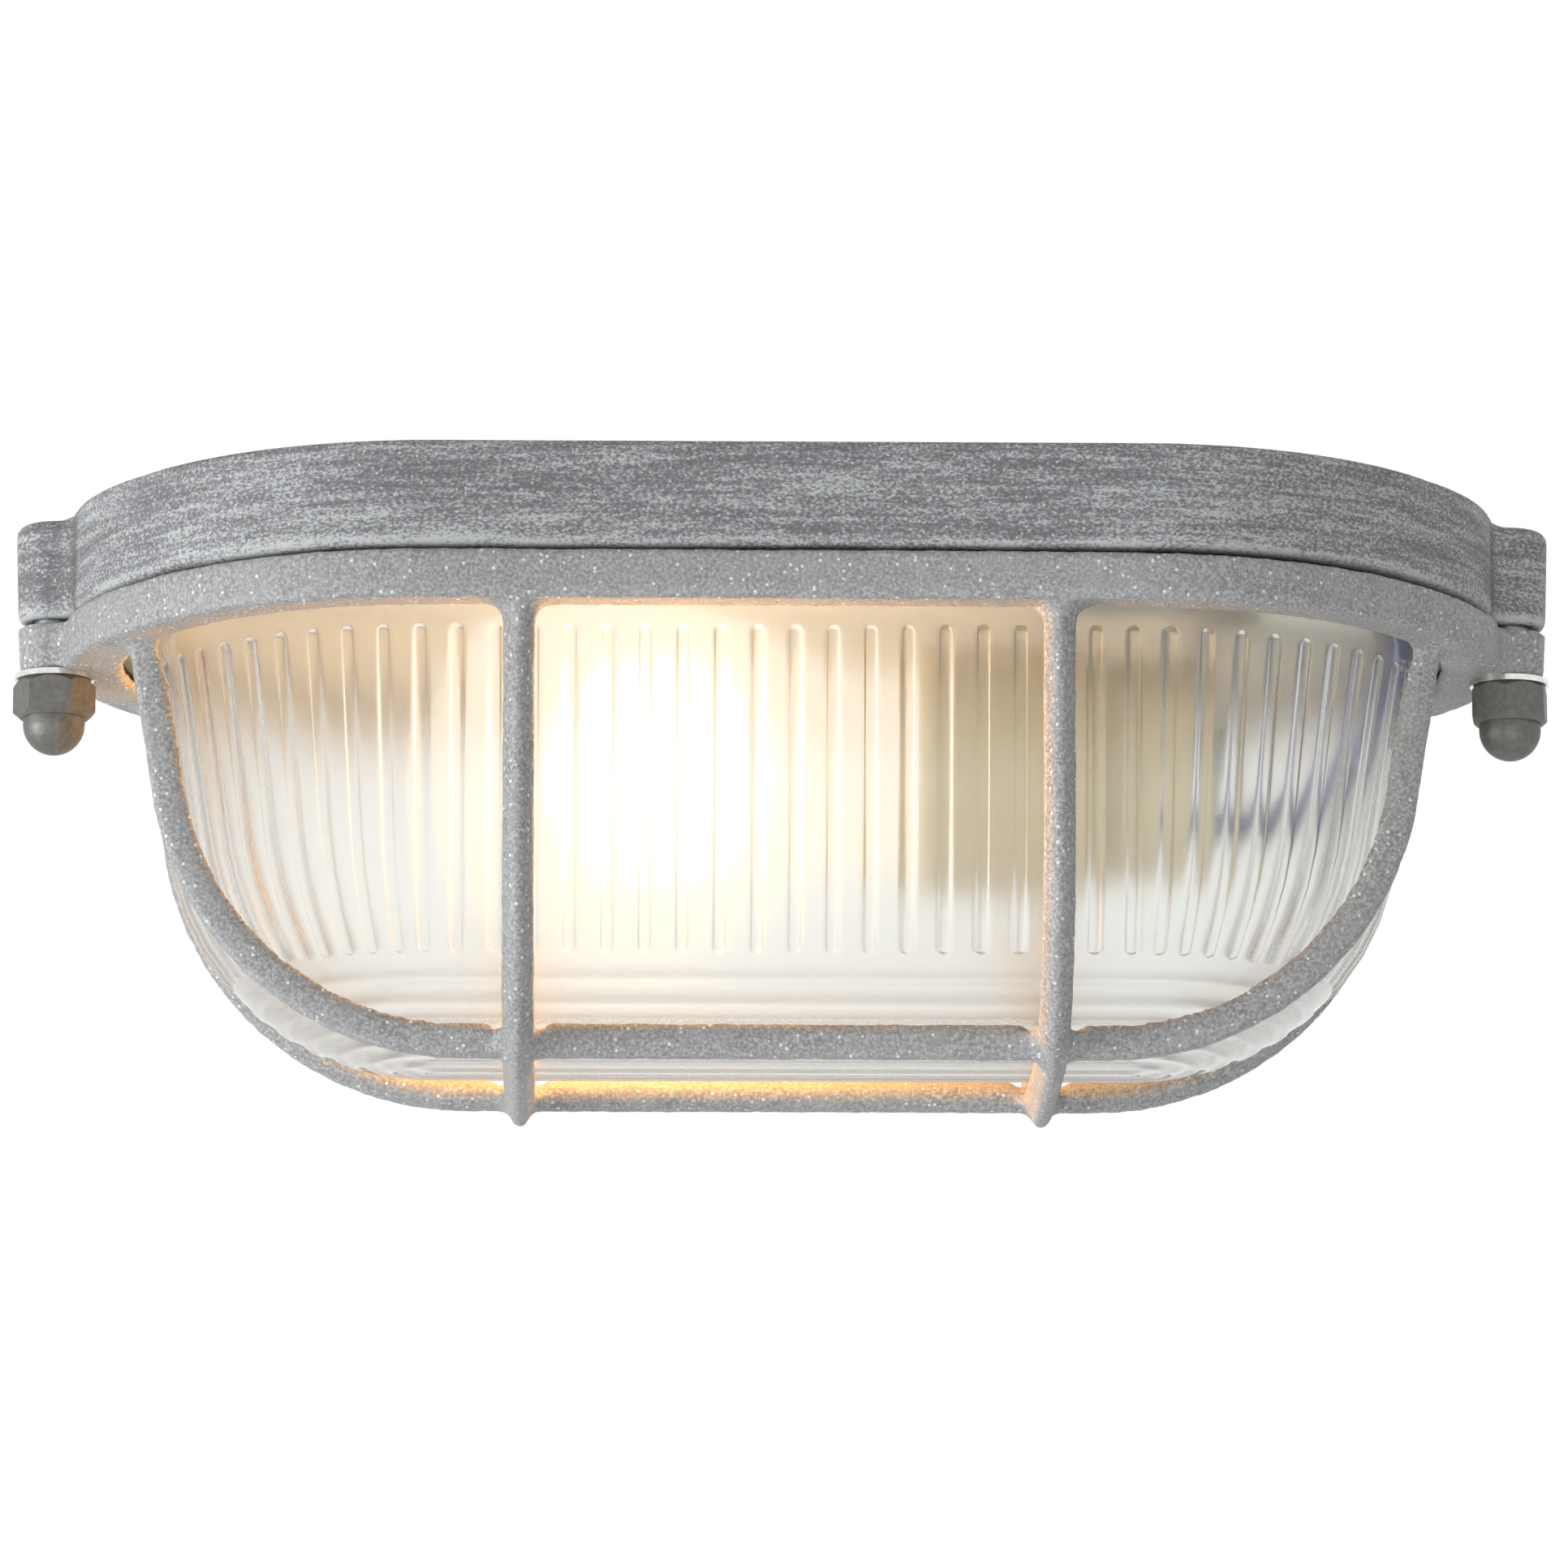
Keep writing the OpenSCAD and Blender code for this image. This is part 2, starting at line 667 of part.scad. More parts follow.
// Round tube along points, as rings joined into one polyhedron
function unit(v) = v / norm(v);
function heading(p, i) =
    unit(p[min(i + 1, len(p) - 1)] - p[max(i - 1, 0)]);
function side_of(t) = unit(cross(t, abs(t[1]) < 0.9 ? [0, 1, 0] : [1, 0, 0]));
function spline(p, i, t) =
    let (a = p[max(i - 1, 0)], b = p[i], c = p[i + 1], d = p[min(i + 2, len(p) - 1)])
    0.5 * ((2 * b) + (c - a) * t + (2 * a - 5 * b + 4 * c - d) * t * t
        + (3 * b - a - 3 * c + d) * t * t * t);
function smooth(p, steps) = [
    for (i = [0 : len(p) - 2], k = [0 : steps - 1]) spline(p, i, k / steps),
    p[len(p) - 1]
];
module tube(p, r, sides = 8) {
    n = len(p);
    points = [
        for (i = [0 : n - 1])
            let (t = heading(p, i), u = side_of(t), v = cross(t, u))
            for (k = [0 : sides - 1])
                p[i] + r * (cos(360 * k / sides) * u + sin(360 * k / sides) * v)
    ];
    faces = concat(
        [[for (k = [0 : sides - 1]) k]],
        [for (i = [0 : n - 2], k = [0 : sides - 1])
            [i * sides + k, (i + 1) * sides + k,
             (i + 1) * sides + (k + 1) % sides, i * sides + (k + 1) % sides]],
        [[for (k = [sides - 1 : -1 : 0]) (n - 1) * sides + k]]
    );
    polyhedron(points, faces, convexity = 6);
}

wire_in = holder_back + bracket_t;
way_out = block_x + block_w;
lead_level = -lamp_z - lead_z;
blue_route = [
    [wire_in - 4, -lead_y, lead_level], [wire_in, -lead_y, lead_level],
    [wire_in + 6.5, -5, lead_level + 0.5], [wire_in + 13.5, -7, lead_level + 3.5],
    [end_in - 7.4, -9, -32.5], [end_in - 3.4, -10, -23],
    [end_in - 1.9, -10, rim_z - 0.2], [end_in - 2.4, -9.5, rim_z + 4.3],
    [way_out, -way_pitch, way_z], [way_out - 3, -way_pitch, way_z]
];
brown_route = [
    [wire_in - 4, lead_y, lead_level], [wire_in, lead_y, lead_level],
    [wire_in + 6.5, 4.5, lead_level], [wire_in + 13.5, 4, lead_level + 3],
    [end_in - 7.4, 3, -33], [end_in - 3.4, 2, -24],
    [end_in - 1.4, 1, rim_z - 0.7], [end_in - 1.9, 0, rim_z + 4.3],
    [way_out, 0, way_z], [way_out - 3, 0, way_z]
];
earth_route = [
    [block_x + 0.6 * earth_in, way_pitch, way_z], [block_x, way_pitch, way_z],
    [block_x - 0.5 * earth_in, way_pitch + 0.4 * earth_in, way_z - 0.08 * earth_in],
    [block_x - 0.9 * earth_in, way_pitch + 1.2 * earth_in, way_z + 0.08 * earth_in],
    [earth_x, earth_y - 2 * earth_in, way_z + 0.368 * earth_in],
    [earth_x, earth_y - tag_reach, earth_top - tag_t - 0.25 * wire_d]
];

module blue_wire() {
    color([0.12, 0.2, 0.55]) tube(smooth(blue_route, 4), wire_d / 2);
}

module brown_wire() {
    color([0.4, 0.24, 0.14]) tube(smooth(brown_route, 4), wire_d / 2);
}

module earth_wire() {
    color([0.45, 0.6, 0.15]) tube(smooth(earth_route, 4), wire_d / 2);
}

module earth_terminal() {
    color([0.78, 0.78, 0.76]) translate([earth_x, earth_y, earth_top - tag_t])
        difference() {
            union() {
                cylinder(r = 1.9 * screw_r, h = tag_t);
                translate([-0.8 * screw_r, -tag_reach, 0])
                    cube([1.6 * screw_r, tag_reach, tag_t]);
            }
            translate([0, 0, -eps]) cylinder(r = screw_r + 0.2, h = tag_t + 2 * eps);
        }
}

module earth_screw() {
    color([0.83, 0.69, 0.35]) translate([earth_x, earth_y, earth_top - tag_t])
        pan_screw(screw_r, tag_t + screw_grip, head_r, head_h);
}

module cable_grommet() {
    lip = 2;
    color([0.1, 0.1, 0.1]) translate([entry_x, -entry_y, 0]) difference() {
        union() {
            translate([0, 0, -base_floor - 1.6]) cylinder(r = entry_r + lip, h = 1.6);
            translate([0, 0, -base_floor - eps])
                cylinder(r = entry_r - 0.1, h = base_floor - 0.3);
        }
        translate([0, 0, -base_floor - 1.6 - eps]) cylinder(r = entry_r - 2.5, h = 8);
    }
}

module stud() {
    bevel = 0.7;
    translate([stud_x, 0, stud_top - stud_len]) {
        cylinder(r1 = stud_d / 2 - bevel, r2 = stud_d / 2, h = bevel);
        translate([0, 0, bevel - eps]) cylinder(d = stud_d, h = stud_len - bevel + eps);
    }
}

module stud_left() {
    color([0.72, 0.73, 0.74]) mirror([1, 0, 0]) stud();
}

module stud_right() {
    color([0.72, 0.73, 0.74]) stud();
}

// Lock washer with teeth on its inner edge, each twisted out of the flat
module lock_washer() {
    inner = stud_d / 2 + stud_play;
    tooth_t = washer_t / 2;
    tooth_w = 1.94 * (washer_t / 2 - tooth_t / 2 * cos(20)) / sin(20);
    color([0.82, 0.83, 0.84]) translate([stud_x, 0, washer_z]) difference() {
        union() {
            difference() {
                cylinder(d = washer_d, h = washer_t);
                translate([0, 0, -eps]) cylinder(d = washer_ring, h = washer_t + 2 * eps);
            }
            for (i = [0 : tooth_count - 1])
                rotate([0, 0, (i + 0.5) * 360 / tooth_count])
                    translate([inner, 0, washer_t / 2]) rotate([20, 0, 0])
                        translate([0, -tooth_w / 2, -tooth_t / 2])
                            cube([washer_ring / 2 - inner + 0.3, tooth_w, tooth_t]);
        }
        translate([0, 0, -1]) cylinder(r = inner, h = washer_t + 2);
    }
}

module lock_washer_left() {
    mirror([1, 0, 0]) lock_washer();
}

module lock_washer_right() {
    lock_washer();
}

// Cap nut: a hexagon bevelled at both ends and a domed cap, with a blind bore
module cap_nut(turn) {
    bevel = 0.9;
    rise = nut_h - nut_hex - nut_dome / 2;
    color([0.55, 0.56, 0.57]) translate([stud_x, 0, washer_z - nut_h]) difference() {
        union() {
            translate([0, 0, nut_h - nut_hex]) intersection() {
                rotate([0, 0, turn]) cylinder(d = nut_corner, h = nut_hex, $fn = 6);
                rotate_extrude() polygon([
                    [0, 0], [nut_flats / 2 - 0.3, 0], [nut_corner / 2 + 0.3, bevel + 0.3],
                    [nut_corner / 2 + 0.3, nut_hex - bevel - 0.3],
                    [nut_flats / 2 - 0.1, nut_hex], [0, nut_hex]
                ]);
            }
            translate([0, 0, nut_dome / 2]) sphere(d = nut_dome);
            translate([0, 0, nut_dome / 2])
                cylinder(d = nut_dome, h = max(rise, 0) + 1);
        }
        translate([0, 0, 2.6])
            cylinder(r = stud_d / 2 + thread_play, h = nut_h);
    }
}

module cap_nut_left() {
    mirror([1, 0, 0]) cap_nut(4);
}

module cap_nut_right() {
    cap_nut(20);
}

base_housing();
base_gasket();
glass_gasket();
cage();
glass_dome();
lampholder_body();
lampholder_sleeve();
centre_contact();
lampholder_bracket();
bracket_screws();
lampholder_screws();
bulb();
terminal_block();
terminal_screws();
blue_wire();
brown_wire();
earth_wire();
earth_terminal();
earth_screw();
cable_grommet();
stud_left();
stud_right();
lock_washer_left();
lock_washer_right();
cap_nut_left();
cap_nut_right();
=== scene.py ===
# %% [markdown]
# # Oval wall and ceiling light
# The lamp hangs from its mounting face: a cast base, a cast guard of hoops and bars, a
# ribbed glass dome inside the guard, and a lit bulb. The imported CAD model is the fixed
# frame, in metres. A piece below either keeps its CAD solid and gets a finish, or is a
# finer mesh that stands for the solid in the same place. Sizes are written in
# millimetres.

# %% The frame
import json
import math

import bmesh
import bpy
import numpy as np
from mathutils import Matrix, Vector


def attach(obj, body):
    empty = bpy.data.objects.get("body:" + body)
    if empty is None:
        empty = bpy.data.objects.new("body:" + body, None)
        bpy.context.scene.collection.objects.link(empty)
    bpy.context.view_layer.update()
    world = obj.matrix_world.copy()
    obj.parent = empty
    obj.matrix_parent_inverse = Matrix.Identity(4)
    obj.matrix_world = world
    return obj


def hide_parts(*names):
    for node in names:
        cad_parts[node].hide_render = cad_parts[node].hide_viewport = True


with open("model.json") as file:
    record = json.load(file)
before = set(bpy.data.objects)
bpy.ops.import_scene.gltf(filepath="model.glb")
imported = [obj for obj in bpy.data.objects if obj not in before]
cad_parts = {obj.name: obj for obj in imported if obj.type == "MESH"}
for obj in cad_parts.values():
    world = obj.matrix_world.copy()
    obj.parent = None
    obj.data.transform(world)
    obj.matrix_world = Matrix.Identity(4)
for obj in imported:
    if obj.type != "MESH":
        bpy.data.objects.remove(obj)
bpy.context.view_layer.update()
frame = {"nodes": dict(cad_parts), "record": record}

MM = 0.001
LAMP = "lamp"
NODES = frame["nodes"]

# %% [markdown]
# ## Helpers for every tree
# Colours are written as sRGB hex values, as a paint chart gives them, and one function
# turns them into the linear values that a shader works in. One function adds a node with
# its settings and links and returns its output, so a tree is a list of short lines.

# %% Colours and nodes
MATH, VECTOR_MATH = "ShaderNodeMath", "ShaderNodeVectorMath"


def linear(hex_colour):
    """sRGB hex to linear RGBA."""
    channels = [int(hex_colour[i:i + 2], 16) / 255 for i in (1, 3, 5)]
    return [c / 12.92 if c <= 0.04045 else ((c + 0.055) / 1.055) ** 2.4
            for c in channels] + [1.0]


def add(tree, kind, inputs=None, out=None, stops=None, **settings):
    """Adds one node and returns its output: the one named out, or its first in use.
    inputs holds values, hex colours or the sockets that feed it, in order or by name or
    number. stops holds a ramp's places and hex colours."""
    node = tree.nodes.new(kind)
    for name, value in settings.items():
        setattr(node, name, value)
    if not isinstance(inputs, dict):
        inputs = dict(enumerate(inputs or ()))
    for key, value in inputs.items():
        socket = node.inputs[key] if isinstance(key, int) else next(
            s for s in node.inputs if s.name == key and s.enabled)
        if isinstance(value, bpy.types.NodeSocket):
            tree.links.new(value, socket)
        elif isinstance(value, str) and value.startswith("#"):
            socket.default_value = linear(value)
        else:
            socket.default_value = value
    if stops:
        points = node.color_ramp.elements
        points[0].position, points[0].color = stops[0][0], linear(stops[0][1])
        points[1].position, points[1].color = stops[-1][0], linear(stops[-1][1])
        for place, colour in stops[1:-1]:
            points.new(place).color = linear(colour)
    if out:
        return node.outputs[out]
    return next((s for s in node.outputs if s.enabled), None)


print("red #ff0000 is linear", linear("#ff0000"))


# %% Materials
def blank(name):
    """New material with an empty tree."""
    made = bpy.data.materials.new(name)
    made.use_nodes = True
    made.node_tree.nodes.clear()
    return made, made.node_tree


def dress(obj, *materials):
    """Gives a piece its materials."""
    obj.data.materials.clear()
    for material in materials:
        obj.data.materials.append(material)


# %% [markdown]
# ## Guard paint
# The guard is sand-cast aluminium under a matt grey stone-effect paint. The casting sand
# leaves grains of about half a millimetre, and the paint has white grains of that size, a
# few of them larger and brighter. Object coordinates are metres here, so a noise scale of
# 1 / size gives each grain its real size. The white grains are round spots in a share of
# the cells of a Voronoi pattern. An image of such paint would look much the same, but it
# repeats and blurs close up, and this pattern has no seams on any shape.

# %% Speckled paint on the guard
def flecks(tree, place, cell_mm, share):
    """1 on a round grain in the middle of some cells, 0 between them."""
    size = {"Vector": place, "Scale": 1 / (cell_mm * MM)}
    apart = add(tree, "ShaderNodeTexVoronoi", size, out="Distance")
    colour = add(tree, "ShaderNodeTexVoronoi", size, out="Color")
    number = add(tree, "ShaderNodeSeparateColor", (colour,), out="Red")
    near = add(tree, "ShaderNodeMapRange", {
        "Value": apart, "From Min": 0.36, "From Max": 0.2})
    some = add(tree, MATH, (number, share), operation="LESS_THAN")
    return add(tree, MATH, (near, some), operation="MULTIPLY")


# Stone-effect paint on a sand casting: a matt mid grey that looks soft from afar and
# glints with white grains close up.
def speckled_paint():
    """Neutral grey with white grains and a sandy skin."""
    made, tree = blank("speckled stone-effect paint")
    place = add(tree, "ShaderNodeTexCoord", out="Object")
    sand = add(tree, "ShaderNodeTexNoise", {
        "Vector": place, "Scale": 1 / (0.5 * MM), "Detail": 2, "Roughness": 0.6})
    cloud = add(tree, "ShaderNodeTexNoise", {
        "Vector": place, "Scale": 1 / (7 * MM), "Detail": 2})
    cloudy = add(tree, "ShaderNodeMapRange", {
        "Value": cloud, "From Min": 0.4, "From Max": 0.65, "To Max": 0.35})
    colour = add(tree, "ShaderNodeValToRGB", {"Fac": sand}, stops=[
        (0.34, "#7b7c7d"), (0.5, "#929394"), (0.66, "#adaeaf")])
    for share, coat in ((cloudy, "#9c9d9e"),
                        (flecks(tree, place, 0.5, 0.3), "#b6b7b8"),
                        (flecks(tree, place, 0.8, 0.13), "#d9dbdc")):
        colour = add(tree, "ShaderNodeMix", {
            "Factor": share, "A": colour, "B": coat}, data_type="RGBA")
    relief = add(tree, "ShaderNodeBump", {
        "Height": sand, "Distance": 0.08 * MM, "Strength": 0.7})
    skin = add(tree, "ShaderNodeBsdfPrincipled", {
        "Base Color": colour, "Roughness": 0.55, "Specular IOR Level": 0.4,
        "Normal": relief})
    add(tree, "ShaderNodeOutputMaterial", {"Surface": skin})
    return made


SPECKLED = speckled_paint()
print("made", SPECKLED.name)

# %% [markdown]
# ## Base paint
# The base is painted darker and then brushed over along its length with a paler coat,
# which catches on the sandy skin in marks a third of a millimetre high. Long streaks and
# broad patches make the marks denser in places, and so does the lower edge. Marks, streaks
# and patches are noise stretched along X and Y, so they follow the brush on every side.
# Painting them by hand would take longer and show a seam. Beside each lug, in the corner
# against the wall, the paint is darkened: this is painted shade. The tray has a pale
# lacquer inside, which throws the bulb's light back.

# %% Where the base is brushed, painted with shade or lacquered
# The oval's straight middle and the tray, the level where the tray begins, and the corner
# between a lug and the wall, where shade is painted.
HALF_STRAIGHT, TRAY_R = 47.6, 46.9
BEHIND, INSIDE = -2.6, -3.0
LUG_CORNER = (99.2, 8.5)


def brushed_noise(tree, place, height_mm, stretch, roughness=0.5):
    """Noise of this height, drawn out along X and Y by 1 / stretch."""
    drawn = add(tree, "ShaderNodeMapping", {
        "Vector": place, "Scale": (stretch, stretch, 1)})
    return add(tree, "ShaderNodeTexNoise", {
        "Vector": drawn, "Scale": 1 / (height_mm * MM), "Detail": 2,
        "Roughness": roughness})


def brushed_coat(tree, place, mark):
    """Colour of the paint outside, from dark between the marks to pale on them."""
    total = mark
    streak = brushed_noise(tree, place, 0.9, 0.07)
    patch = brushed_noise(tree, place, 6, 0.2)
    low_edge = add(tree, "ShaderNodeMapRange", {
        "Value": add(tree, "ShaderNodeSeparateXYZ", (place,), out="Z"),
        "From Min": -12.8 * MM, "From Max": -14.2 * MM, "To Max": 0.08})
    for part, share in ((streak, 0.5), (patch, 0.26), (low_edge, 1.6)):
        total = add(tree, MATH, (part, share, total), operation="MULTIPLY_ADD")
    pale = add(tree, "ShaderNodeMapRange", {
        "Value": total, "From Min": 0.61, "From Max": 1.15})
    return add(tree, "ShaderNodeValToRGB", {"Fac": pale}, stops=[
        (0.2, "#666769"), (0.45, "#7a7b7d"), (0.6, "#929395"), (0.8, "#b4b6b7")])


def painted_lug_corner_shade(tree, mirrored):
    """1 in the corner between a lug and the wall, where shade is painted."""
    level = add(tree, VECTOR_MATH, (mirrored, (1, 1, 0)), operation="MULTIPLY")
    corner = (LUG_CORNER[0] * MM, LUG_CORNER[1] * MM, 0)
    apart = add(tree, VECTOR_MATH, (level, corner), "Value", operation="DISTANCE")
    return add(tree, "ShaderNodeMapRange", {
        "Value": apart, "From Min": 2.4 * MM, "From Max": 0.4 * MM, "To Max": 0.75})


def in_tray(tree, place, mirrored):
    """1 on the walls and the floor of the tray."""
    along = add(tree, "ShaderNodeSeparateXYZ", (mirrored,), out="X")
    aside = add(tree, "ShaderNodeSeparateXYZ", (mirrored,), out="Y")
    past = add(tree, MATH, (along, HALF_STRAIGHT * MM), operation="SUBTRACT")
    past = add(tree, MATH, (past, 0.0), operation="MAXIMUM")
    across = add(tree, "ShaderNodeCombineXYZ", {"X": past, "Y": aside})
    from_line = add(tree, VECTOR_MATH, (across,), "Value", operation="LENGTH")
    within = add(tree, "ShaderNodeMapRange", {
        "Value": from_line, "From Min": TRAY_R * MM, "From Max": (TRAY_R - 0.2) * MM})
    under = add(tree, "ShaderNodeMapRange", {
        "Value": add(tree, "ShaderNodeSeparateXYZ", (place,), out="Z"),
        "From Min": BEHIND * MM, "From Max": INSIDE * MM})
    return add(tree, MATH, (within, under), operation="MULTIPLY")


# %% Brushed paint on the base
# Stone-effect paint, dry-brushed over a sand casting: a matt dark grey that looks worn
# pale along its length.
def brushed_paint():
    """Mid grey under pale dry-brushed marks."""
    made, tree = blank("dry-brushed stone-effect paint")
    place = add(tree, "ShaderNodeTexCoord", out="Object")
    mirrored = add(tree, VECTOR_MATH, (place,), operation="ABSOLUTE")
    mark = brushed_noise(tree, place, 0.33, 0.6, roughness=0.7)
    colour = brushed_coat(tree, place, mark)
    # Painted shade: dark grey in the corner beside each lug; then white grains and the
    # tray's pale lacquer.
    for share, coat in ((painted_lug_corner_shade(tree, mirrored), "#4b4a4a"),
                        (flecks(tree, place, 0.6, 0.12), "#bfc0c1"),
                        (in_tray(tree, place, mirrored), "#c8c5bd")):
        colour = add(tree, "ShaderNodeMix", {
            "Factor": share, "A": colour, "B": coat}, data_type="RGBA")
    relief = add(tree, "ShaderNodeBump", {
        "Height": mark, "Distance": 0.06 * MM, "Strength": 0.6})
    skin = add(tree, "ShaderNodeBsdfPrincipled", {
        "Base Color": colour, "Roughness": 0.6, "Specular IOR Level": 0.35,
        "Normal": relief})
    add(tree, "ShaderNodeOutputMaterial", {"Surface": skin})
    return made


BRUSHED = brushed_paint()
print("made", BRUSHED.name)

# %% [markdown]
# ## Glass
# Pressed soda-lime glass: smooth and glossy outside, and inside slightly wavy and satin
# from the plunger that pressed it, which blurs what lies behind. Shadow and diffuse rays
# only carry light, and a refracting surface would stop them. They pass straight through,
# so the bulb lights the guard. A thin transparent skin would be quicker to render, but it
# would not bend what lies behind the ribs.

# %% Two faces of the glass
def pressed_glass(name, roughness, wave_mm, depth_mm):
    """Clear glass with a faint green, for one face of the dome."""
    made, tree = blank(name)
    place = add(tree, "ShaderNodeTexCoord", out="Object")
    wave = add(tree, "ShaderNodeTexNoise", {
        "Vector": place, "Scale": 1 / (wave_mm * MM), "Detail": 2})
    relief = add(tree, "ShaderNodeBump", {
        "Height": wave, "Distance": depth_mm * MM, "Strength": 1.0})
    body = add(tree, "ShaderNodeBsdfPrincipled", {
        "Base Color": "#fdfefc", "Roughness": roughness, "IOR": 1.5,
        "Transmission Weight": 1.0, "Normal": relief})
    clear = add(tree, "ShaderNodeBsdfTransparent", {"Color": "#fcfdfb"})
    shadow = add(tree, "ShaderNodeLightPath", out="Is Shadow Ray")
    diffuse = add(tree, "ShaderNodeLightPath", out="Is Diffuse Ray")
    carries = add(tree, MATH, (shadow, diffuse), operation="MAXIMUM")
    mixed = add(tree, "ShaderNodeMixShader", (carries, body, clear))
    add(tree, "ShaderNodeOutputMaterial", {"Surface": mixed})
    return made


# Fire-polished outside: clear and wet-looking, with sharp lines of light on each rib.
OUTER_GLASS = pressed_glass("fire-polished pressed glass", 0.04, 3.0, 0.01)
# Satin inside: the bulb and the tray show only as soft patches of light and shade.
INNER_GLASS = pressed_glass("satin inner face of pressed glass", 0.36, 1.2, 0.02)
print("made", OUTER_GLASS.name, "and", INNER_GLASS.name)

# %% [markdown]
# ## Small finishes
# Glazed porcelain, zinc-plated and bright steel, brass, rubber and plastics. They share
# one recipe, a colour with a faint grain, and differ in colour, in gloss, and in whether
# they are metal. The lit bulb is two skins: frosted glass that glows softly and is half
# clear, and inside it the hot middle.

# %% Recipe for a small finish
# The grain of about a millimetre is coarser than the real one, so that it shows.
def plain_finish(name, colour, dark, roughness, metallic=0.0, grain_mm=1.0,
                 depth_mm=0.01):
    """A colour that wanders a little towards a darker one, with a fine relief."""
    made, tree = blank(name)
    place = add(tree, "ShaderNodeTexCoord", out="Object")
    grain = add(tree, "ShaderNodeTexNoise", {
        "Vector": place, "Scale": 1 / (grain_mm * MM), "Detail": 3})
    shade = add(tree, "ShaderNodeMapRange", {
        "Value": grain, "From Min": 0.3, "From Max": 0.7, "To Max": 0.6})
    relief = add(tree, "ShaderNodeBump", {
        "Height": grain, "Distance": depth_mm * MM, "Strength": 0.8})
    mottled = add(tree, "ShaderNodeMix", {
        "Factor": shade, "A": colour, "B": dark}, data_type="RGBA")
    skin = add(tree, "ShaderNodeBsdfPrincipled", {
        "Base Color": mottled, "Roughness": roughness, "Metallic": metallic,
        "Normal": relief})
    add(tree, "ShaderNodeOutputMaterial", {"Surface": skin})
    return made


# %% Two skins of the lit bulb
# Frosted glass over a glowing middle: an even soft white that is brightest inside.
def bulb_skin():
    """Thin frosted glass that glows softly and lets the hot middle through."""
    made, tree = blank("lit frosted bulb glass")
    skin = add(tree, "ShaderNodeBsdfPrincipled", {
        "Base Color": "#2a2722", "Roughness": 0.5, "Alpha": 0.5,
        "Emission Color": "#fff0dd", "Emission Strength": 1.1})
    add(tree, "ShaderNodeOutputMaterial", {"Surface": skin})
    return made


def bulb_middle():
    """The hot middle of the lit bulb, warm white."""
    made, tree = blank("hot middle of the lit bulb")
    light = add(tree, "ShaderNodeEmission", {"Color": "#ffdfb0", "Strength": 8.0})
    add(tree, "ShaderNodeOutputMaterial", {"Surface": light})
    return made


# %% A finish for each slot
FINISHES = {
    "base_paint": BRUSHED,
    "cage_paint": SPECKLED,
    "clear_glass": OUTER_GLASS,
    # Matt black, without a highlight.
    "gasket_rubber": plain_finish("black moulded rubber", "#1d1d1e", "#101010", 0.7),
    # Warm cream with one soft highlight, a dim patch behind the glass.
    "holder_ceramic": plain_finish(
        "glazed porcelain", "#cfc3a8", "#bdb093", 0.3, grain_mm=4),
    # Yellow metal with a soft mirror.
    "contact_brass": plain_finish("stamped brass", "#c9a65b", "#a8854a", 0.3, 1.0),
    # Cool grey metal that mirrors the room in blurred bands.
    "plated_steel": plain_finish("zinc-plated steel", "#b9bbbd", "#8f9193", 0.38, 1.0),
    # Nearly white metal, a thin bright line above each nut.
    "bright_steel": plain_finish("bright spring steel", "#efeeec", "#c9c8c4", 0.2, 1.0),
    # Dark grey metal gone dull, with one broad sheen on the dome of the nut.
    "nut_steel": plain_finish("dull zinc-plated steel", "#73726f", "#565452", 0.5, 0.6,
                              0.8, 0.03),
    # Off-white with a satin sheen.
    "terminal_plastic": plain_finish("moulded polyamide", "#e4e2d8", "#d2cfc2", 0.45),
    # Extruded PVC: a deep, even colour with a soft gloss along the wire.
    "wire_blue": plain_finish("blue PVC wire sleeve", "#1d3f9c", "#142f7c", 0.35),
    "wire_brown": plain_finish("brown PVC wire sleeve", "#5c3a20", "#452a15", 0.35),
    "wire_green": plain_finish("green PVC wire sleeve", "#4f7f25", "#3a661a", 0.35),
    "lit_bulb": bulb_skin(),
}
for part in frame["record"]["subparts"]:
    dress(NODES[part["node"]], FINISHES[part["material_slot"]])
print("finishes:", len(FINISHES))

# %% [markdown]
# ## Running a tree of Geometry Nodes
# A tree gets a named input for each size. The modifier's values are set by each socket's
# identifier before Blender looks at the object, the evaluated result is kept as a plain
# mesh, and the modifier goes. A Python loop over the points could do the same, but a tree
# keeps its rule in one place and can be opened and tried with other sizes.

# %% Helpers for Geometry Nodes
def sized_tree(name, sizes):
    """Geometry Nodes tree with a number input for each size. Returns it and its inputs."""
    tree = bpy.data.node_groups.new(name, "GeometryNodeTree")
    for way in ("INPUT", "OUTPUT"):
        tree.interface.new_socket("Geometry", in_out=way, socket_type="NodeSocketGeometry")
    for key in sizes:
        tree.interface.new_socket(key, in_out="INPUT", socket_type="NodeSocketFloat")
    return tree, tree.nodes.new("NodeGroupInput").outputs


def run_tree(obj, tree, sizes):
    """Runs a tree on an object with these sizes and keeps the result as its mesh."""
    modifier = obj.modifiers.new(tree.name, "NODES")
    modifier.node_group = tree
    for item in tree.interface.items_tree:
        if item.in_out == "INPUT" and item.name in sizes:
            modifier[item.identifier] = float(sizes[item.name])
    return keep_result(obj)


def keep_result(obj):
    """Replaces an object's mesh by what its modifiers make of it, and removes them."""
    graph = bpy.context.evaluated_depsgraph_get()
    mesh = bpy.data.meshes.new_from_object(obj.evaluated_get(graph), depsgraph=graph)
    obj.modifiers.clear()
    obj.data = mesh
    mesh.name = obj.name
    return obj


def linked(name, data):
    """New object in the scene, at the origin."""
    obj = bpy.data.objects.new(name, data)
    bpy.context.scene.collection.objects.link(obj)
    return obj


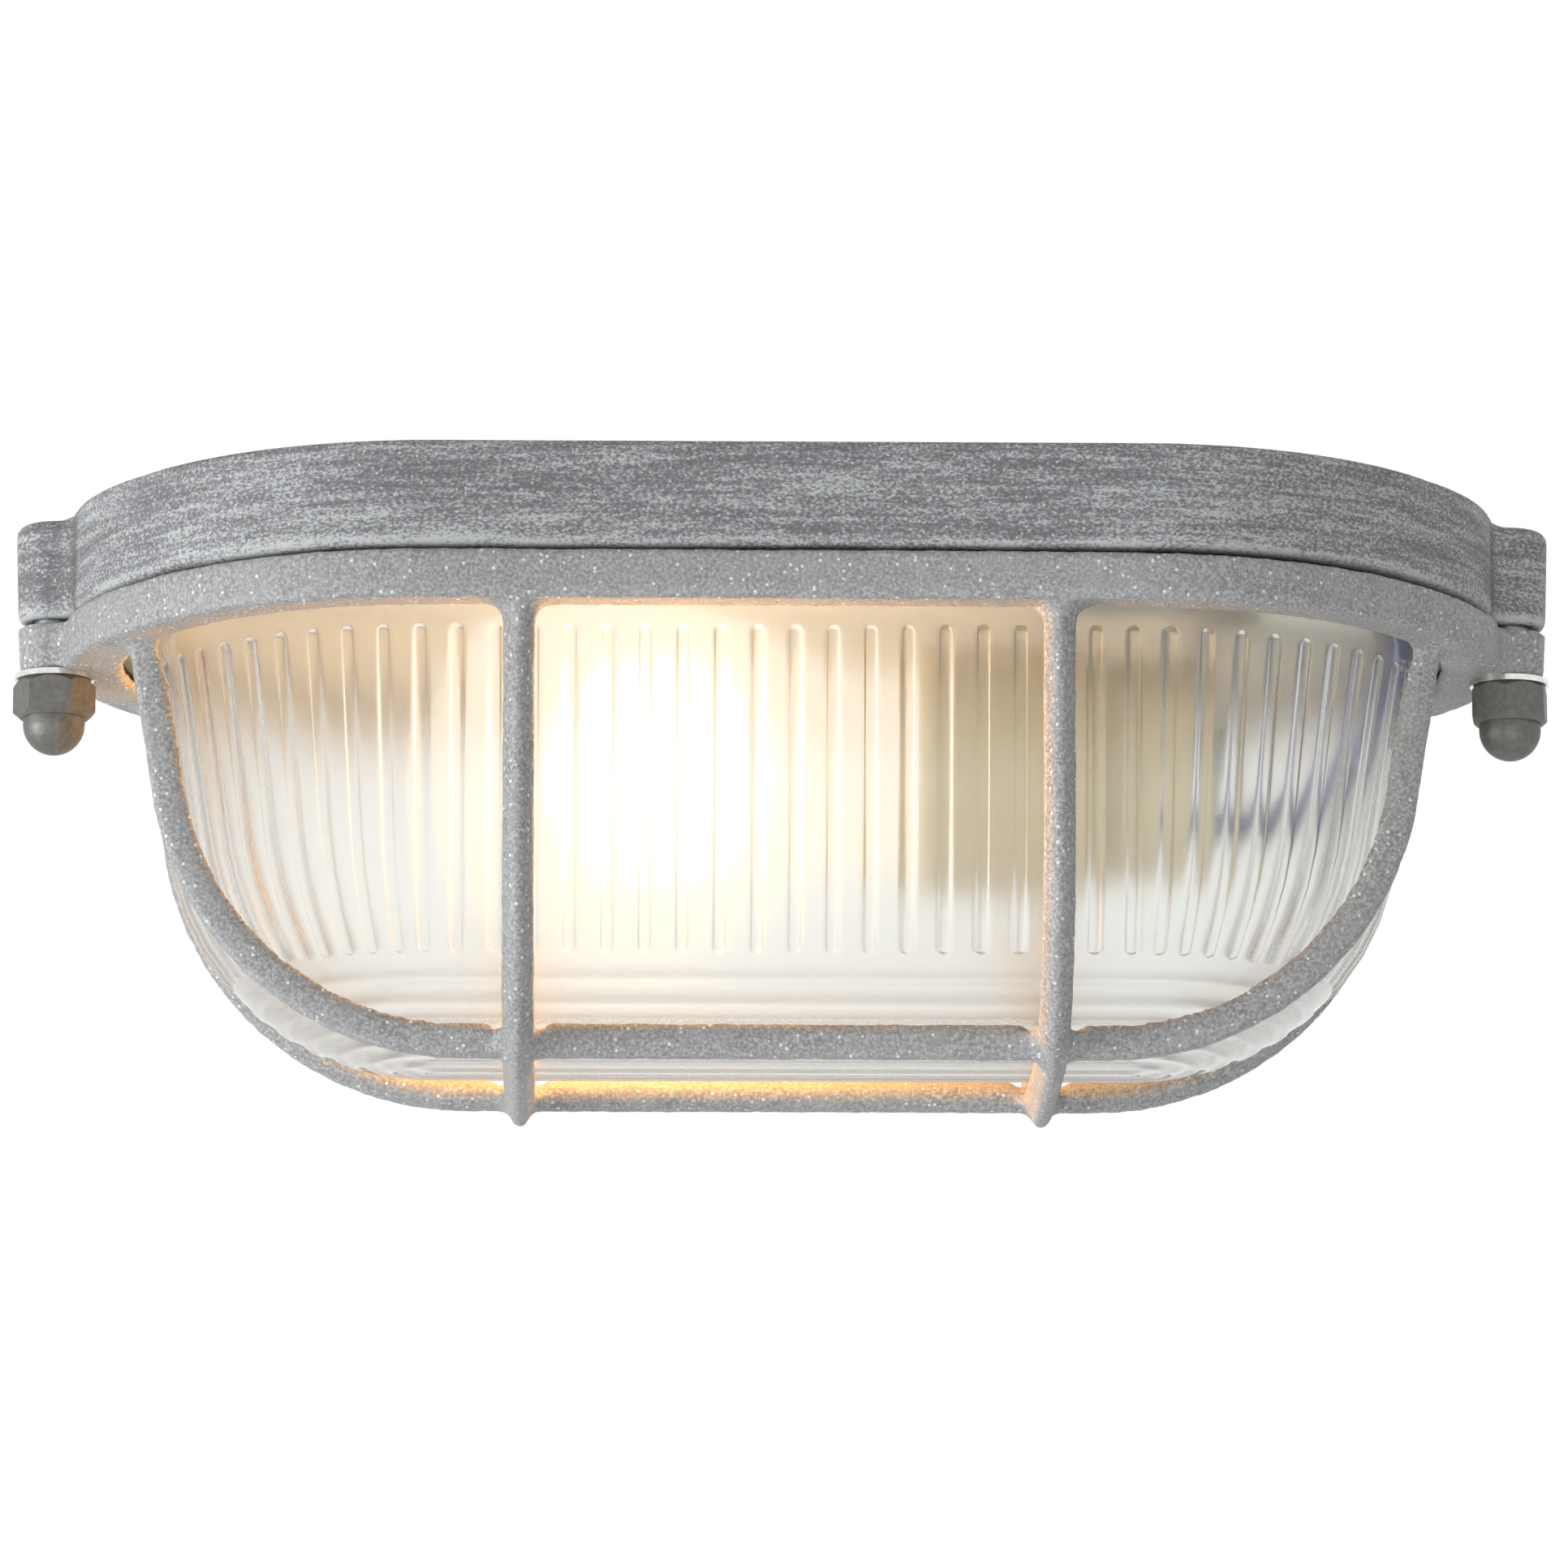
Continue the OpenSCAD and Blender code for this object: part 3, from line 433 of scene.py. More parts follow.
def stand_in(obj, slot, *nodes):
    """The piece rides on the lamp and stands for its CAD nodes. The slot is not used."""
    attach(obj, LAMP)
    if nodes:
        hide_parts(*nodes)
    low = [min(v.co[i] for v in obj.data.vertices) / MM for i in range(3)]
    high = [max(v.co[i] for v in obj.data.vertices) / MM for i in range(3)]
    print(obj.name, "triangles:", sum(len(p.vertices) - 2 for p in obj.data.polygons),
          "from", [round(v, 1) for v in low], "to", [round(v, 1) for v in high])
    return obj


# %% [markdown]
# ## The dome's profile
# The dome is pressed glass, so its shape follows one rule: a profile carried round an
# oval. The profile runs down a drafted wall, round the shoulder and in along the crown,
# all tangent. Points are taken by length along it, closer together at the ends of the
# ribs and on the rings. The crown hangs as low as the hoops let it.

# %% Profile of the dome, in millimetres
GLASS_BOTTOM, GLASS_THICK = -77.9, 3.0
SHOULDER_R, CROWN_R, DRAFT = 34.5, 80.0, math.radians(10)
WALL_R, WALL_Z = 41.8, -22.0
RIM_R, RIM_TOP, RIM_LOW = 47.9, -16.8, -19.8
RING_FIRST, RING_PITCH, RING_COUNT = 0.6, 4.5, 7
RIB_TOP, RIB_FOOT = -23.6, -66.6


def shoulder_centre():
    """Centre of the shoulder arc that is tangent to the crown and to the wall."""
    r = 9.0
    for _ in range(40):
        z = GLASS_BOTTOM + CROWN_R - math.sqrt((CROWN_R - SHOULDER_R) ** 2 - r * r)
        at_foot = r + SHOULDER_R * math.cos(DRAFT)
        rise = WALL_Z - (z - SHOULDER_R * math.sin(DRAFT))
        r += WALL_R - (at_foot + rise * math.tan(DRAFT))
    return r, z


MID_R, MID_Z = shoulder_centre()
CROWN_Z = GLASS_BOTTOM + CROWN_R
LEAN = math.atan2(MID_R, CROWN_Z - MID_Z)


def skin_point(s, inset=0.0):
    """(radius, level, outward radius, outward level) at the length s from the crown's
    middle, measured on the outer skin, and set in by inset."""
    crown = CROWN_R * LEAN
    turn = SHOULDER_R * (math.pi / 2 - DRAFT - LEAN)
    if s < crown:
        a = s / CROWN_R
        r, z = (CROWN_R - inset) * math.sin(a), CROWN_Z - (CROWN_R - inset) * math.cos(a)
    elif s < crown + turn:
        a = LEAN + (s - crown) / SHOULDER_R
        r = MID_R + (SHOULDER_R - inset) * math.sin(a)
        z = MID_Z - (SHOULDER_R - inset) * math.cos(a)
    else:
        a, up = math.pi / 2 - DRAFT, s - crown - turn
        r = MID_R + (SHOULDER_R - inset) * math.sin(a) + up * math.sin(DRAFT)
        z = MID_Z - (SHOULDER_R - inset) * math.cos(a) + up * math.cos(DRAFT)
    return r, z, math.sin(a), -math.cos(a)


def length_to(level):
    """Length along the outer skin from the crown's middle up to a level."""
    low, high = 0.0, 120.0
    for _ in range(50):
        middle = (low + high) / 2
        low, high = (middle, high) if skin_point(middle)[1] < level else (low, middle)
    return low


S_RIM, S_TOP, S_FOOT = length_to(RIM_LOW), length_to(RIB_TOP), length_to(RIB_FOOT)
print("shoulder centre:", round(MID_R, 2), round(MID_Z, 2), "rib from", round(S_FOOT, 1),
      "to", round(S_TOP, 1), "mm along the skin")

# %% [markdown]
# ## The dome's mesh
# The 89 ribs stand at an even pitch of 5.1 mm round the oval. Each column of points knows
# how far it lies from the middle of its rib, and each row how far along the profile it
# lies. Both go on the mesh as attributes, with the outward direction. The columns of the
# front and the back meet on the crown's middle line, at even places on it, so that the
# shell closes there.

# %% Rows and columns
RIB_COUNT, RIB_SHIFT = 89, 0.95
HALF_ROUND = 2 * HALF_STRAIGHT + math.pi * WALL_R
RIB_PITCH = 2 * HALF_ROUND / RIB_COUNT
STEPS = (-0.5, -0.3, -0.18, -0.162, -0.145, -0.115, -0.06, 0.0,
         0.06, 0.115, 0.145, 0.162, 0.18, 0.3)
INNER_ROWS, WALL_ROWS, MIDDLE_STEPS = 14, 9, 80
NO_RIDGE = -99.0


def outer_rows():
    """Lengths along the outer skin, from the crown's middle to the rim."""
    rings = [RING_FIRST + RING_PITCH * (k + step) for k in range(RING_COUNT)
             for step in (-0.5, -0.2, -0.1, 0.0, 0.1, 0.2)]
    foot = [S_FOOT + d for d in (-0.15, 0.0, 0.2, 0.5, 0.9, 1.4)]
    head = [S_TOP + d for d in (-1.4, -0.9, -0.5, -0.2, 0.0, 0.15)]
    between = [(rings[-1] + foot[0]) / 2]
    along = list(np.linspace(foot[-1], head[0], WALL_ROWS)[1:-1])
    return [0.0] + [s for s in rings if s > 0.2] + between + foot + along + head + [S_RIM]


def oval_columns():
    """(centre X, outward X, outward Y, steps from the rib, 1 at an end)."""
    found = []
    for i in range(RIB_COUNT):
        for step in STEPS:
            t = (HALF_STRAIGHT + RIB_SHIFT + (i + step) * RIB_PITCH) % (2 * HALF_ROUND)
            side = 1 if t < HALF_ROUND else -1
            t %= HALF_ROUND
            a = max(0.0, (t - 2 * HALF_STRAIGHT) / WALL_R)
            x = min(t, 2 * HALF_STRAIGHT) - HALF_STRAIGHT
            found.append((side * x, side * math.sin(a), -side * math.cos(a), step,
                          float(a > 0)))
    return np.array(found)


print("rows and columns of the outer skin:", len(outer_rows()), len(oval_columns()))


# %% The closed shell
def shell_profile():
    """Rows of (radius, level, outward radius, outward level, 1 on the outer skin, length
    along it): inside from the middle up, over the rim, and down outside."""
    inner = [(*skin_point(s, GLASS_THICK), 0, NO_RIDGE)
             for s in np.linspace(0.0, length_to(RIM_TOP), INNER_ROWS)]
    inner[-1] = (inner[-1][0], RIM_TOP, 0, 1, 0, NO_RIDGE)
    soft = 0.3
    rim = [(RIM_R - soft, RIM_TOP, 0, 1, 0, NO_RIDGE),
           (RIM_R, RIM_TOP - soft, 1, 0, 0, NO_RIDGE),
           (RIM_R, RIM_LOW + soft, 1, 0, 0, NO_RIDGE),
           (RIM_R - soft, RIM_LOW, 0, -1, 0, NO_RIDGE)]
    outer = [(*skin_point(s), 1, s) for s in reversed(outer_rows())]
    return np.array(inner + rim + outer)


def dome_shell():
    """The profile carried round the oval, still without ribs."""
    profile, ring = shell_profile(), oval_columns()
    count = len(ring)

    def each_column(column):
        return np.repeat(profile[:, column:column + 1], count, axis=1)

    r = profile[:, 0:1]
    points = np.stack([ring[:, 0] + r * ring[:, 1], r * ring[:, 2], each_column(1)],
                      axis=-1)
    middle = profile[:, 0] < 1e-6
    apart = 2 * HALF_STRAIGHT / MIDDLE_STEPS
    points[middle, :, 0] = np.round(
        (points[middle, :, 0] + HALF_STRAIGHT) / apart) * apart - HALF_STRAIGHT
    pitch = RIB_PITCH * np.where(ring[:, 4] > 0, r / WALL_R, 1.0)
    outward = np.stack([profile[:, 2:3] * ring[:, 1], profile[:, 2:3] * ring[:, 2],
                        each_column(3)], axis=-1)
    faces = [(i * count + j, (i + 1) * count + j, (i + 1) * count + (j + 1) % count,
              i * count + (j + 1) % count)
             for i in range(len(profile) - 1) for j in range(count)]
    mesh = bpy.data.meshes.new("ribbed_glass")
    mesh.from_pydata((points.reshape(-1, 3) * MM).tolist(), [], faces)
    for key, values in (("across", ring[:, 3] * pitch), ("along", each_column(5)),
                        ("raised", each_column(4))):
        mesh.attributes.new(key, "FLOAT", "POINT").data.foreach_set(
            "value", values.astype(np.float32).ravel())
    mesh.attributes.new("outward", "FLOAT_VECTOR", "POINT").data.foreach_set(
        "vector", outward.astype(np.float32).ravel())
    return linked("ribbed_glass", mesh)


dome = dome_shell()
print("points in the glass shell:", len(dome.data.vertices))

# %% [markdown]
# ## Ribs and rings
# A rib is a full ridge with rounded ends, like a pill cut along its length: its height
# follows the distance to its middle line and falls steeply at its side. A ring is a
# flatter ridge of circular section, carried round the crown. The tree works both out in
# millimetres and moves each point of the outer skin outwards. Separate pieces set on the
# glass would be simpler, but light would break at each hidden face, and this way the glass
# stays one closed shell.

# %% Sizes of the ribs and rings
RIB_SIZES = {"Rib half width": 0.85, "Rib height": 0.45, "Rib foot": S_FOOT + 1.0,
             "Rib head": S_TOP - 1.0, "First ring": RING_FIRST,
             "Ring pitch": RING_PITCH, "Ring half width": 0.9, "Ring height": 0.2}


# %% Height of a rib and of a ring
def ridge_height(tree, out, height):
    """Height of a ridge, where out runs from 0 at its middle to 1 at its side."""
    inside = add(tree, MATH, (1.0, out), operation="SUBTRACT")
    inside = add(tree, MATH, (inside, 0.0), operation="MAXIMUM")
    root = add(tree, MATH, (inside,), operation="SQRT")
    return add(tree, MATH, (root, height), operation="MULTIPLY")


def rib_height(tree, size, across, along):
    """Height of the rib, over the distance to its middle line or to its end."""
    below = add(tree, MATH, (size["Rib foot"], along), operation="SUBTRACT")
    above = add(tree, MATH, (along, size["Rib head"]), operation="SUBTRACT")
    past = add(tree, MATH, (below, above), operation="MAXIMUM")
    past = add(tree, MATH, (past, 0.0), operation="MAXIMUM")
    total = add(tree, MATH, (
        add(tree, MATH, (across, across), operation="MULTIPLY"),
        add(tree, MATH, (past, past), operation="MULTIPLY")), operation="ADD")
    apart = add(tree, MATH, (total,), operation="SQRT")
    out = add(tree, MATH, (apart, size["Rib half width"]), operation="DIVIDE")
    out = add(tree, MATH, (out, 3.0), operation="POWER")
    return ridge_height(tree, out, size["Rib height"])


def ring_height(tree, size, along):
    """Height of the ring that is nearest."""
    past = add(tree, MATH, (along, size["First ring"]), operation="SUBTRACT")
    number = add(tree, MATH, (past, size["Ring pitch"]), operation="DIVIDE")
    number = add(tree, MATH, (number,), operation="ROUND")
    number = add(tree, MATH, (number, 0.0), operation="MAXIMUM")
    number = add(tree, MATH, (number, RING_COUNT - 1.0), operation="MINIMUM")
    centre = add(tree, MATH, (number, size["Ring pitch"]), operation="MULTIPLY")
    apart = add(tree, MATH, (past, centre), operation="SUBTRACT")
    out = add(tree, MATH, (apart, size["Ring half width"]), operation="DIVIDE")
    out = add(tree, MATH, (out, out), operation="MULTIPLY")
    return ridge_height(tree, out, size["Ring height"])


# %% The tree for the glass
def ridge_tree():
    """Moves the outer skin by the height of its rib or ring, and welds the shell."""
    tree, size = sized_tree("ribs and rings on the glass", RIB_SIZES)
    across = add(tree, "GeometryNodeInputNamedAttribute", {"Name": "across"})
    along = add(tree, "GeometryNodeInputNamedAttribute", {"Name": "along"})
    raised = add(tree, "GeometryNodeInputNamedAttribute", {"Name": "raised"})
    outward = add(tree, "GeometryNodeInputNamedAttribute", {"Name": "outward"},
                  data_type="FLOAT_VECTOR")
    height = add(tree, MATH, (
        rib_height(tree, size, across, along), ring_height(tree, size, along)),
        operation="MAXIMUM")
    height = add(tree, MATH, (height, raised), operation="MULTIPLY")
    metres = add(tree, MATH, (height, MM), operation="MULTIPLY")
    offset = add(tree, VECTOR_MATH, {0: outward, 3: metres}, operation="SCALE")
    moved = add(tree, "GeometryNodeSetPosition", {
        "Geometry": size["Geometry"], "Offset": offset})
    welded = add(tree, "GeometryNodeMergeByDistance", {
        "Geometry": moved, "Distance": 0.002 * MM})
    smooth = add(tree, "GeometryNodeSetShadeSmooth", {"Geometry": welded})
    real = add(tree, "GeometryNodeRealizeInstances", {"Geometry": smooth})
    inner = add(tree, "GeometryNodeSetMaterial", {
        "Geometry": real, "Material": INNER_GLASS})
    on_skin = add(tree, "FunctionNodeCompare", {"A": raised, "B": 0.5},
                  operation="GREATER_THAN")
    outer = add(tree, "GeometryNodeSetMaterial", {
        "Geometry": inner, "Selection": on_skin, "Material": OUTER_GLASS})
    add(tree, "NodeGroupOutput", {"Geometry": outer})
    return tree


# %% The ribbed glass
run_tree(dome, ridge_tree(), RIB_SIZES)
shell = bmesh.new()
shell.from_mesh(dome.data)
bmesh.ops.dissolve_degenerate(shell, edges=shell.edges, dist=0.001 * MM)
bmesh.ops.recalc_face_normals(shell, faces=shell.faces)
print("open edges of the glass:", sum(not e.is_manifold for e in shell.edges))
shell.to_mesh(dome.data)
shell.free()
stand_in(dome, "clear_glass", "glass_dome")

# %% [markdown]
# ## The castings
# Sand casting leaves round corners, fillets in every inside corner and slightly ragged
# edges. The CAD solids have sharp ones. A copy of the CAD mesh is welded and given an even
# skin of small cells by a voxel remesh. Swelling that skin by the fillet's radius, joining
# it again and shrinking it by the same amount leaves every inside corner round. It is then
# smoothed, which rounds the outer edges, and thinned where it is flat. A bevel is the
# usual way, but it fails where many edges of a solid meet.

# %% Helper for a casting
def casting(node, name, cell_mm, fillet_mm, rounds):
    """Copy of a CAD node's mesh with fillets and soft edges."""
    source = bmesh.new()
    source.from_mesh(NODES[node].data)
    bmesh.ops.remove_doubles(source, verts=source.verts, dist=0.001 * MM)
    mesh = bpy.data.meshes.new(name)
    source.to_mesh(mesh)
    source.free()
    obj = linked(name, mesh)
    for swell_mm in (0, fillet_mm, -fillet_mm):
        if swell_mm:
            swell = obj.modifiers.new("swell or shrink", "DISPLACE")
            swell.strength, swell.mid_level = swell_mm * MM, 0
        remesh = obj.modifiers.new("even skin", "REMESH")
        remesh.mode, remesh.voxel_size = "VOXEL", cell_mm * MM
    soften = obj.modifiers.new("round the corners", "SMOOTH")
    soften.factor, soften.iterations = 0.5, rounds
    return keep_result(obj)


def thinned(obj, most):
    """Collapses the flattest parts until a mesh has at most this many triangles."""
    thin = obj.modifiers.new("thin", "DECIMATE")
    thin.ratio = min(1.0, most / (2 * len(obj.data.polygons)))
    return keep_result(obj)


# %% [markdown]
# ## Ragged skin
# The sand also leaves waves of about a tenth of a millimetre, which show best along the
# edges of the windows. Geometry Nodes move each point along its normal by two noises, a
# broad and a fine one, with fixed seeds. A bump in the paint would not do, since it leaves
# the outline straight. The guard is not quite true either. Towards the right end it stands
# a little further off the base, so the seam opens there. Its hoops are a little thicker on
# the side that faces the glass, its bars are thinner on that side where they pass under
# the crown, and the ridge below each bar comes down a little more.

# %% Two noises
SKIN_SIZES = {"Wave width": 3.0, "Wave height": 0.14, "Grain width": 1.1,
              "Grain height": 0.12, "Seam drop": 0.4, "Inner side": 0.8,
              "Bar drop": 1.9, "Ridge drop": 0.7}


def ragged_height(tree, size, place):
    """Height of the skin from a broad and a fine noise, in metres."""
    total = 0.0
    for width, height, seed in (("Wave width", "Wave height", 7.0),
                                ("Grain width", "Grain height", 23.0)):
        metres = add(tree, MATH, (size[width], MM), operation="MULTIPLY")
        waves = add(tree, "ShaderNodeTexNoise", {
            "Vector": place, "Scale": add(tree, MATH, (1.0, metres), operation="DIVIDE"),
            "Detail": 1.0, "W": seed}, noise_dimensions="4D")
        about_zero = add(tree, MATH, (waves, 0.5), operation="SUBTRACT")
        tall = add(tree, MATH, (size[height], 2 * MM), operation="MULTIPLY")
        part = add(tree, MATH, (about_zero, tall), operation="MULTIPLY")
        total = add(tree, MATH, (total, part), operation="ADD")
    return total


# %% Where the seam opens and the ridges come down
# Each pair says where nothing moves and where all of it does, in millimetres.
SEAM_OPENS = (("X", 10, 90), ("X", 98.5, 96.5), ("Z", -18.3, -16.3))
RIDGE_LOWERS = (-79.9, -81.2)


def seam_drop(tree, size, place):
    """How far the top of the guard hangs lower towards the right end."""
    drop = add(tree, MATH, (size["Seam drop"], -MM), operation="MULTIPLY")
    for axis, start, full in SEAM_OPENS:
        share = add(tree, "ShaderNodeMapRange", {
            "Value": add(tree, "ShaderNodeSeparateXYZ", (place,), out=axis),
            "From Min": start * MM, "From Max": full * MM},
            interpolation_type="SMOOTHSTEP")
        drop = add(tree, MATH, (drop, share), operation="MULTIPLY")
    return drop


def ridge_drop(tree, size, place):
    """How far the ridge below a bar comes down more."""
    share = add(tree, "ShaderNodeMapRange", {
        "Value": add(tree, "ShaderNodeSeparateXYZ", (place,), out="Z"),
        "From Min": RIDGE_LOWERS[0] * MM, "From Max": RIDGE_LOWERS[1] * MM})
    full = add(tree, MATH, (size["Ridge drop"], -MM), operation="MULTIPLY")
    return add(tree, MATH, (share, full), operation="MULTIPLY")


# %% The side of the guard that faces the glass
BAR_X, CORE_X, CORE_Z = 36.5, 40, -36
HUNG, OFF_BAR, FRONT, UNDER = (-24, -28), (3.0, 4.5), (18, 21.5), (18.5, 16.5)


def facing_glass(tree, place, normal):
    """1 on the side of a hoop or bar that looks at the line in the dome's core."""
    held = add(tree, VECTOR_MATH, (place, (-CORE_X * MM, 0, CORE_Z * MM)),
               operation="MAXIMUM")
    nearest = add(tree, VECTOR_MATH, (held, (CORE_X * MM, 0, CORE_Z * MM)),
                  operation="MINIMUM")
    inwards = add(tree, VECTOR_MATH, (nearest, place), operation="SUBTRACT")
    inwards = add(tree, VECTOR_MATH, (inwards,), operation="NORMALIZE")
    turned_in = add(tree, VECTOR_MATH, (inwards, normal), "Value",
                    operation="DOT_PRODUCT")
    return add(tree, "ShaderNodeMapRange", {
        "Value": turned_in, "From Min": 0.45, "From Max": 0.8})


def inner_side(tree, size, place, normal):
    """How far that side moves along its normal: inwards on the hoops, outwards where a
    bar passes under the crown."""
    mirrored = add(tree, VECTOR_MATH, (place,), operation="ABSOLUTE")
    along = add(tree, "ShaderNodeSeparateXYZ", (mirrored,), out="X")
    aside = add(tree, "ShaderNodeSeparateXYZ", (mirrored,), out="Y")
    from_bar = add(tree, MATH, (along, BAR_X * MM), operation="SUBTRACT")
    from_bar = add(tree, MATH, (from_bar,), operation="ABSOLUTE")
    level = add(tree, "ShaderNodeSeparateXYZ", (place,), out="Z")
    hung, off_bar, front, under = [add(tree, "ShaderNodeMapRange", {
        "Value": value, "From Min": start * MM, "From Max": full * MM})
        for value, (start, full) in (
            (level, HUNG), (from_bar, OFF_BAR), (aside, FRONT), (aside, UNDER))]
    on_bar = add(tree, MATH, (1.0, off_bar), operation="SUBTRACT")
    facing = facing_glass(tree, place, normal)
    total = 0.0
    for key, sign, shares in (("Inner side", 1, (hung, facing, front, off_bar)),
                              ("Bar drop", -1, (hung, facing, under, on_bar))):
        part = add(tree, MATH, (size[key], sign * MM), operation="MULTIPLY")
        for share in shares:
            part = add(tree, MATH, (part, share), operation="MULTIPLY")
        total = add(tree, MATH, (total, part), operation="ADD")
    return total


# %% Geometry Nodes for the ragged skin
def ragged_tree(name, material):
    """Moves the skin of the guard by all four rules."""
    tree, size = sized_tree(name, SKIN_SIZES)
    place = add(tree, "GeometryNodeInputPosition")
    normal = add(tree, "GeometryNodeInputNormal")
    ragged, inner = [add(tree, VECTOR_MATH, {0: normal, 3: metres}, operation="SCALE")
                     for metres in (ragged_height(tree, size, place),
                                    inner_side(tree, size, place, normal))]
    seam, ridges = [add(tree, "ShaderNodeCombineXYZ", {"Z": metres})
                    for metres in (seam_drop(tree, size, place),
                                   ridge_drop(tree, size, place))]
    offset = ragged
    for move in (seam, inner, ridges):
        offset = add(tree, VECTOR_MATH, (offset, move), operation="ADD")
    moved = add(tree, "GeometryNodeSetPosition", {
        "Geometry": size["Geometry"], "Offset": offset})
    smooth = add(tree, "GeometryNodeSetShadeSmooth", {"Geometry": moved})
    real = add(tree, "GeometryNodeRealizeInstances", {"Geometry": smooth})
    painted = add(tree, "GeometryNodeSetMaterial", {
        "Geometry": real, "Material": material})
    add(tree, "NodeGroupOutput", {"Geometry": painted})
    return tree


# %% Guard and base
guard = casting("cage", "guard_casting", cell_mm=0.5, fillet_mm=1.2, rounds=4)
run_tree(guard, ragged_tree("ragged skin of the guard", SPECKLED), SKIN_SIZES)
thinned(guard, most=190000)
stand_in(guard, "cage_paint", "cage")

base = casting("base_housing", "base_casting", cell_mm=0.6, fillet_mm=1.0, rounds=3)
thinned(base, most=120000)
dress(base, BRUSHED)
base.data.shade_smooth()
stand_in(base, "base_paint", "base_housing")

# %% [markdown]
# ## The bulb
# A frosted bulb glows all over, most in its middle. It is turned from a profile: the ball,
# then an even curve into the neck. A smaller ball inside it is its hot middle. One even
# glow would be simpler, but it looks flat through the ribs. The screw cap is hidden in the
# lampholder.

# %% Turning a profile
AXIS_Z = -35.0


def turned(name, profile, sides=64):
    """Closed round piece about the bulb's axis from (X, radius) points in millimetres."""
    angles = [2 * math.pi * k / sides for k in range(sides)]
    points = [(x, r * math.cos(a), AXIS_Z + r * math.sin(a)) for x, r in profile
              for a in angles]
    faces = [(i * sides + k, i * sides + (k + 1) % sides,
              (i + 1) * sides + (k + 1) % sides, (i + 1) * sides + k)
             for i in range(len(profile) - 1) for k in range(sides)]
    mesh = bpy.data.meshes.new(name)
    mesh.from_pydata([Vector(p) * MM for p in points], [], faces)
    work = bmesh.new()
    work.from_mesh(mesh)
    bmesh.ops.remove_doubles(work, verts=work.verts, dist=0.0005 * MM)
    bmesh.ops.recalc_face_normals(work, faces=work.faces)
    work.to_mesh(mesh)
    work.free()
    mesh.shade_smooth()
    return linked(name, mesh)


# %% Profile of the bulb
NECK_X, NECK_R = 18.6, 12.9


def bulb_profile():
    """Ball of 55 mm, tangent to a hollow curve that runs into the neck."""
    ball, centre, leaves = 27.3, -23.5, math.radians(128)
    found = [(centre - ball * math.cos(a), ball * math.sin(a))
             for a in np.linspace(0, leaves, 40)]
    x0, r0 = found[-1]
    slope = -math.tan(leaves - math.pi / 2)
    for t in np.linspace(0, 1, 16)[1:]:
        at_ball, at_neck = 2 * t ** 3 - 3 * t ** 2 + 1, -2 * t ** 3 + 3 * t ** 2
        lean = (t ** 3 - 2 * t ** 2 + t) * slope * (NECK_X - x0)
        found.append((x0 + (NECK_X - x0) * t, at_ball * r0 + lean + at_neck * NECK_R))
    return found + [(NECK_X + 0.2, 0.0)]


# %% Bulb, hot middle and screw cap
bulb = turned("frosted_bulb", bulb_profile())
dress(bulb, FINISHES["lit_bulb"])
stand_in(bulb, "lit_bulb", "bulb")

HOT_X, HOT_R = -17.5, 14.0
middle = turned("hot_middle", [
    (HOT_X - HOT_R * math.cos(a), HOT_R * math.sin(a))
    for a in np.linspace(0, math.pi, 33)])
dress(middle, bulb_middle())
stand_in(middle, "lit_bulb")

CAP_X, CAP_R, THREAD_H, TURN_POINTS = 19.0, 12.6, 0.4, 12
thread = [(CAP_X + 26 * k / 90, CAP_R + THREAD_H * math.cos(k * 2 * math.pi / TURN_POINTS))
          for k in range(76)]
contact = [(42.5, 8.0), (45.0, 3.0), (45.0, 0.0)]
cap = turned("screw_cap", [(CAP_X, 0.0)] + thread + contact)
dress(cap, FINISHES["contact_brass"])
stand_in(cap, "contact_brass")

# %% [markdown]
# ## Room and floor
# A bright room. Backdrop and floor are plain white to rays that pass the glass or leave
# metal, and the backdrop is so to the camera too. The floor still takes the lamp's shadow,
# and from below it is clear, because that is the side this lamp is looked at from.

# %% Room
def seen_white(tree, *names):
    """1 for the rays of these kinds, to which a backdrop is plain white."""
    total = 0.0
    for name in names:
        ray = add(tree, "ShaderNodeLightPath", out=name)
        total = add(tree, MATH, (ray, total), operation="MAXIMUM")
    return total


world = bpy.data.worlds.new("bright room")
bpy.context.scene.world = world
world.use_nodes = True
room_tree = world.node_tree
room_tree.nodes.clear()
room = add(room_tree, "ShaderNodeBackground", {"Color": "#f6f7f8", "Strength": 0.6})
white = add(room_tree, "ShaderNodeBackground", {"Color": "#ffffff", "Strength": 1.0})
as_backdrop = seen_white(
    room_tree, "Is Camera Ray", "Is Glossy Ray", "Is Transmission Ray")
add(room_tree, "ShaderNodeOutputWorld", {
    "Surface": add(room_tree, "ShaderNodeMixShader", (as_backdrop, room, white))})

# %% Floor
FLOOR_HALF, FLOOR_Z = 3.0, -0.6
floor_mesh = bpy.data.meshes.new("floor")
floor_mesh.from_pydata([(x * FLOOR_HALF, y * FLOOR_HALF, FLOOR_Z) for x, y in (
    (-1, -1), (1, -1), (1, 1), (-1, 1))], [], [(0, 1, 2, 3)])
floor = linked("floor", floor_mesh)
floor_paint, floor_tree = blank("pale matt floor")
paint = add(floor_tree, "ShaderNodeBsdfPrincipled", {
    "Base Color": "#f4f4f4", "Roughness": 0.9})
plain = add(floor_tree, "ShaderNodeEmission", {"Color": "#ffffff", "Strength": 1.0})
as_backdrop = seen_white(floor_tree, "Is Glossy Ray", "Is Transmission Ray")
top = add(floor_tree, "ShaderNodeMixShader", (as_backdrop, paint, plain))
from_below = add(floor_tree, "ShaderNodeNewGeometry", out="Backfacing")
clear = add(floor_tree, "ShaderNodeBsdfTransparent", {"Color": "#ffffff"})
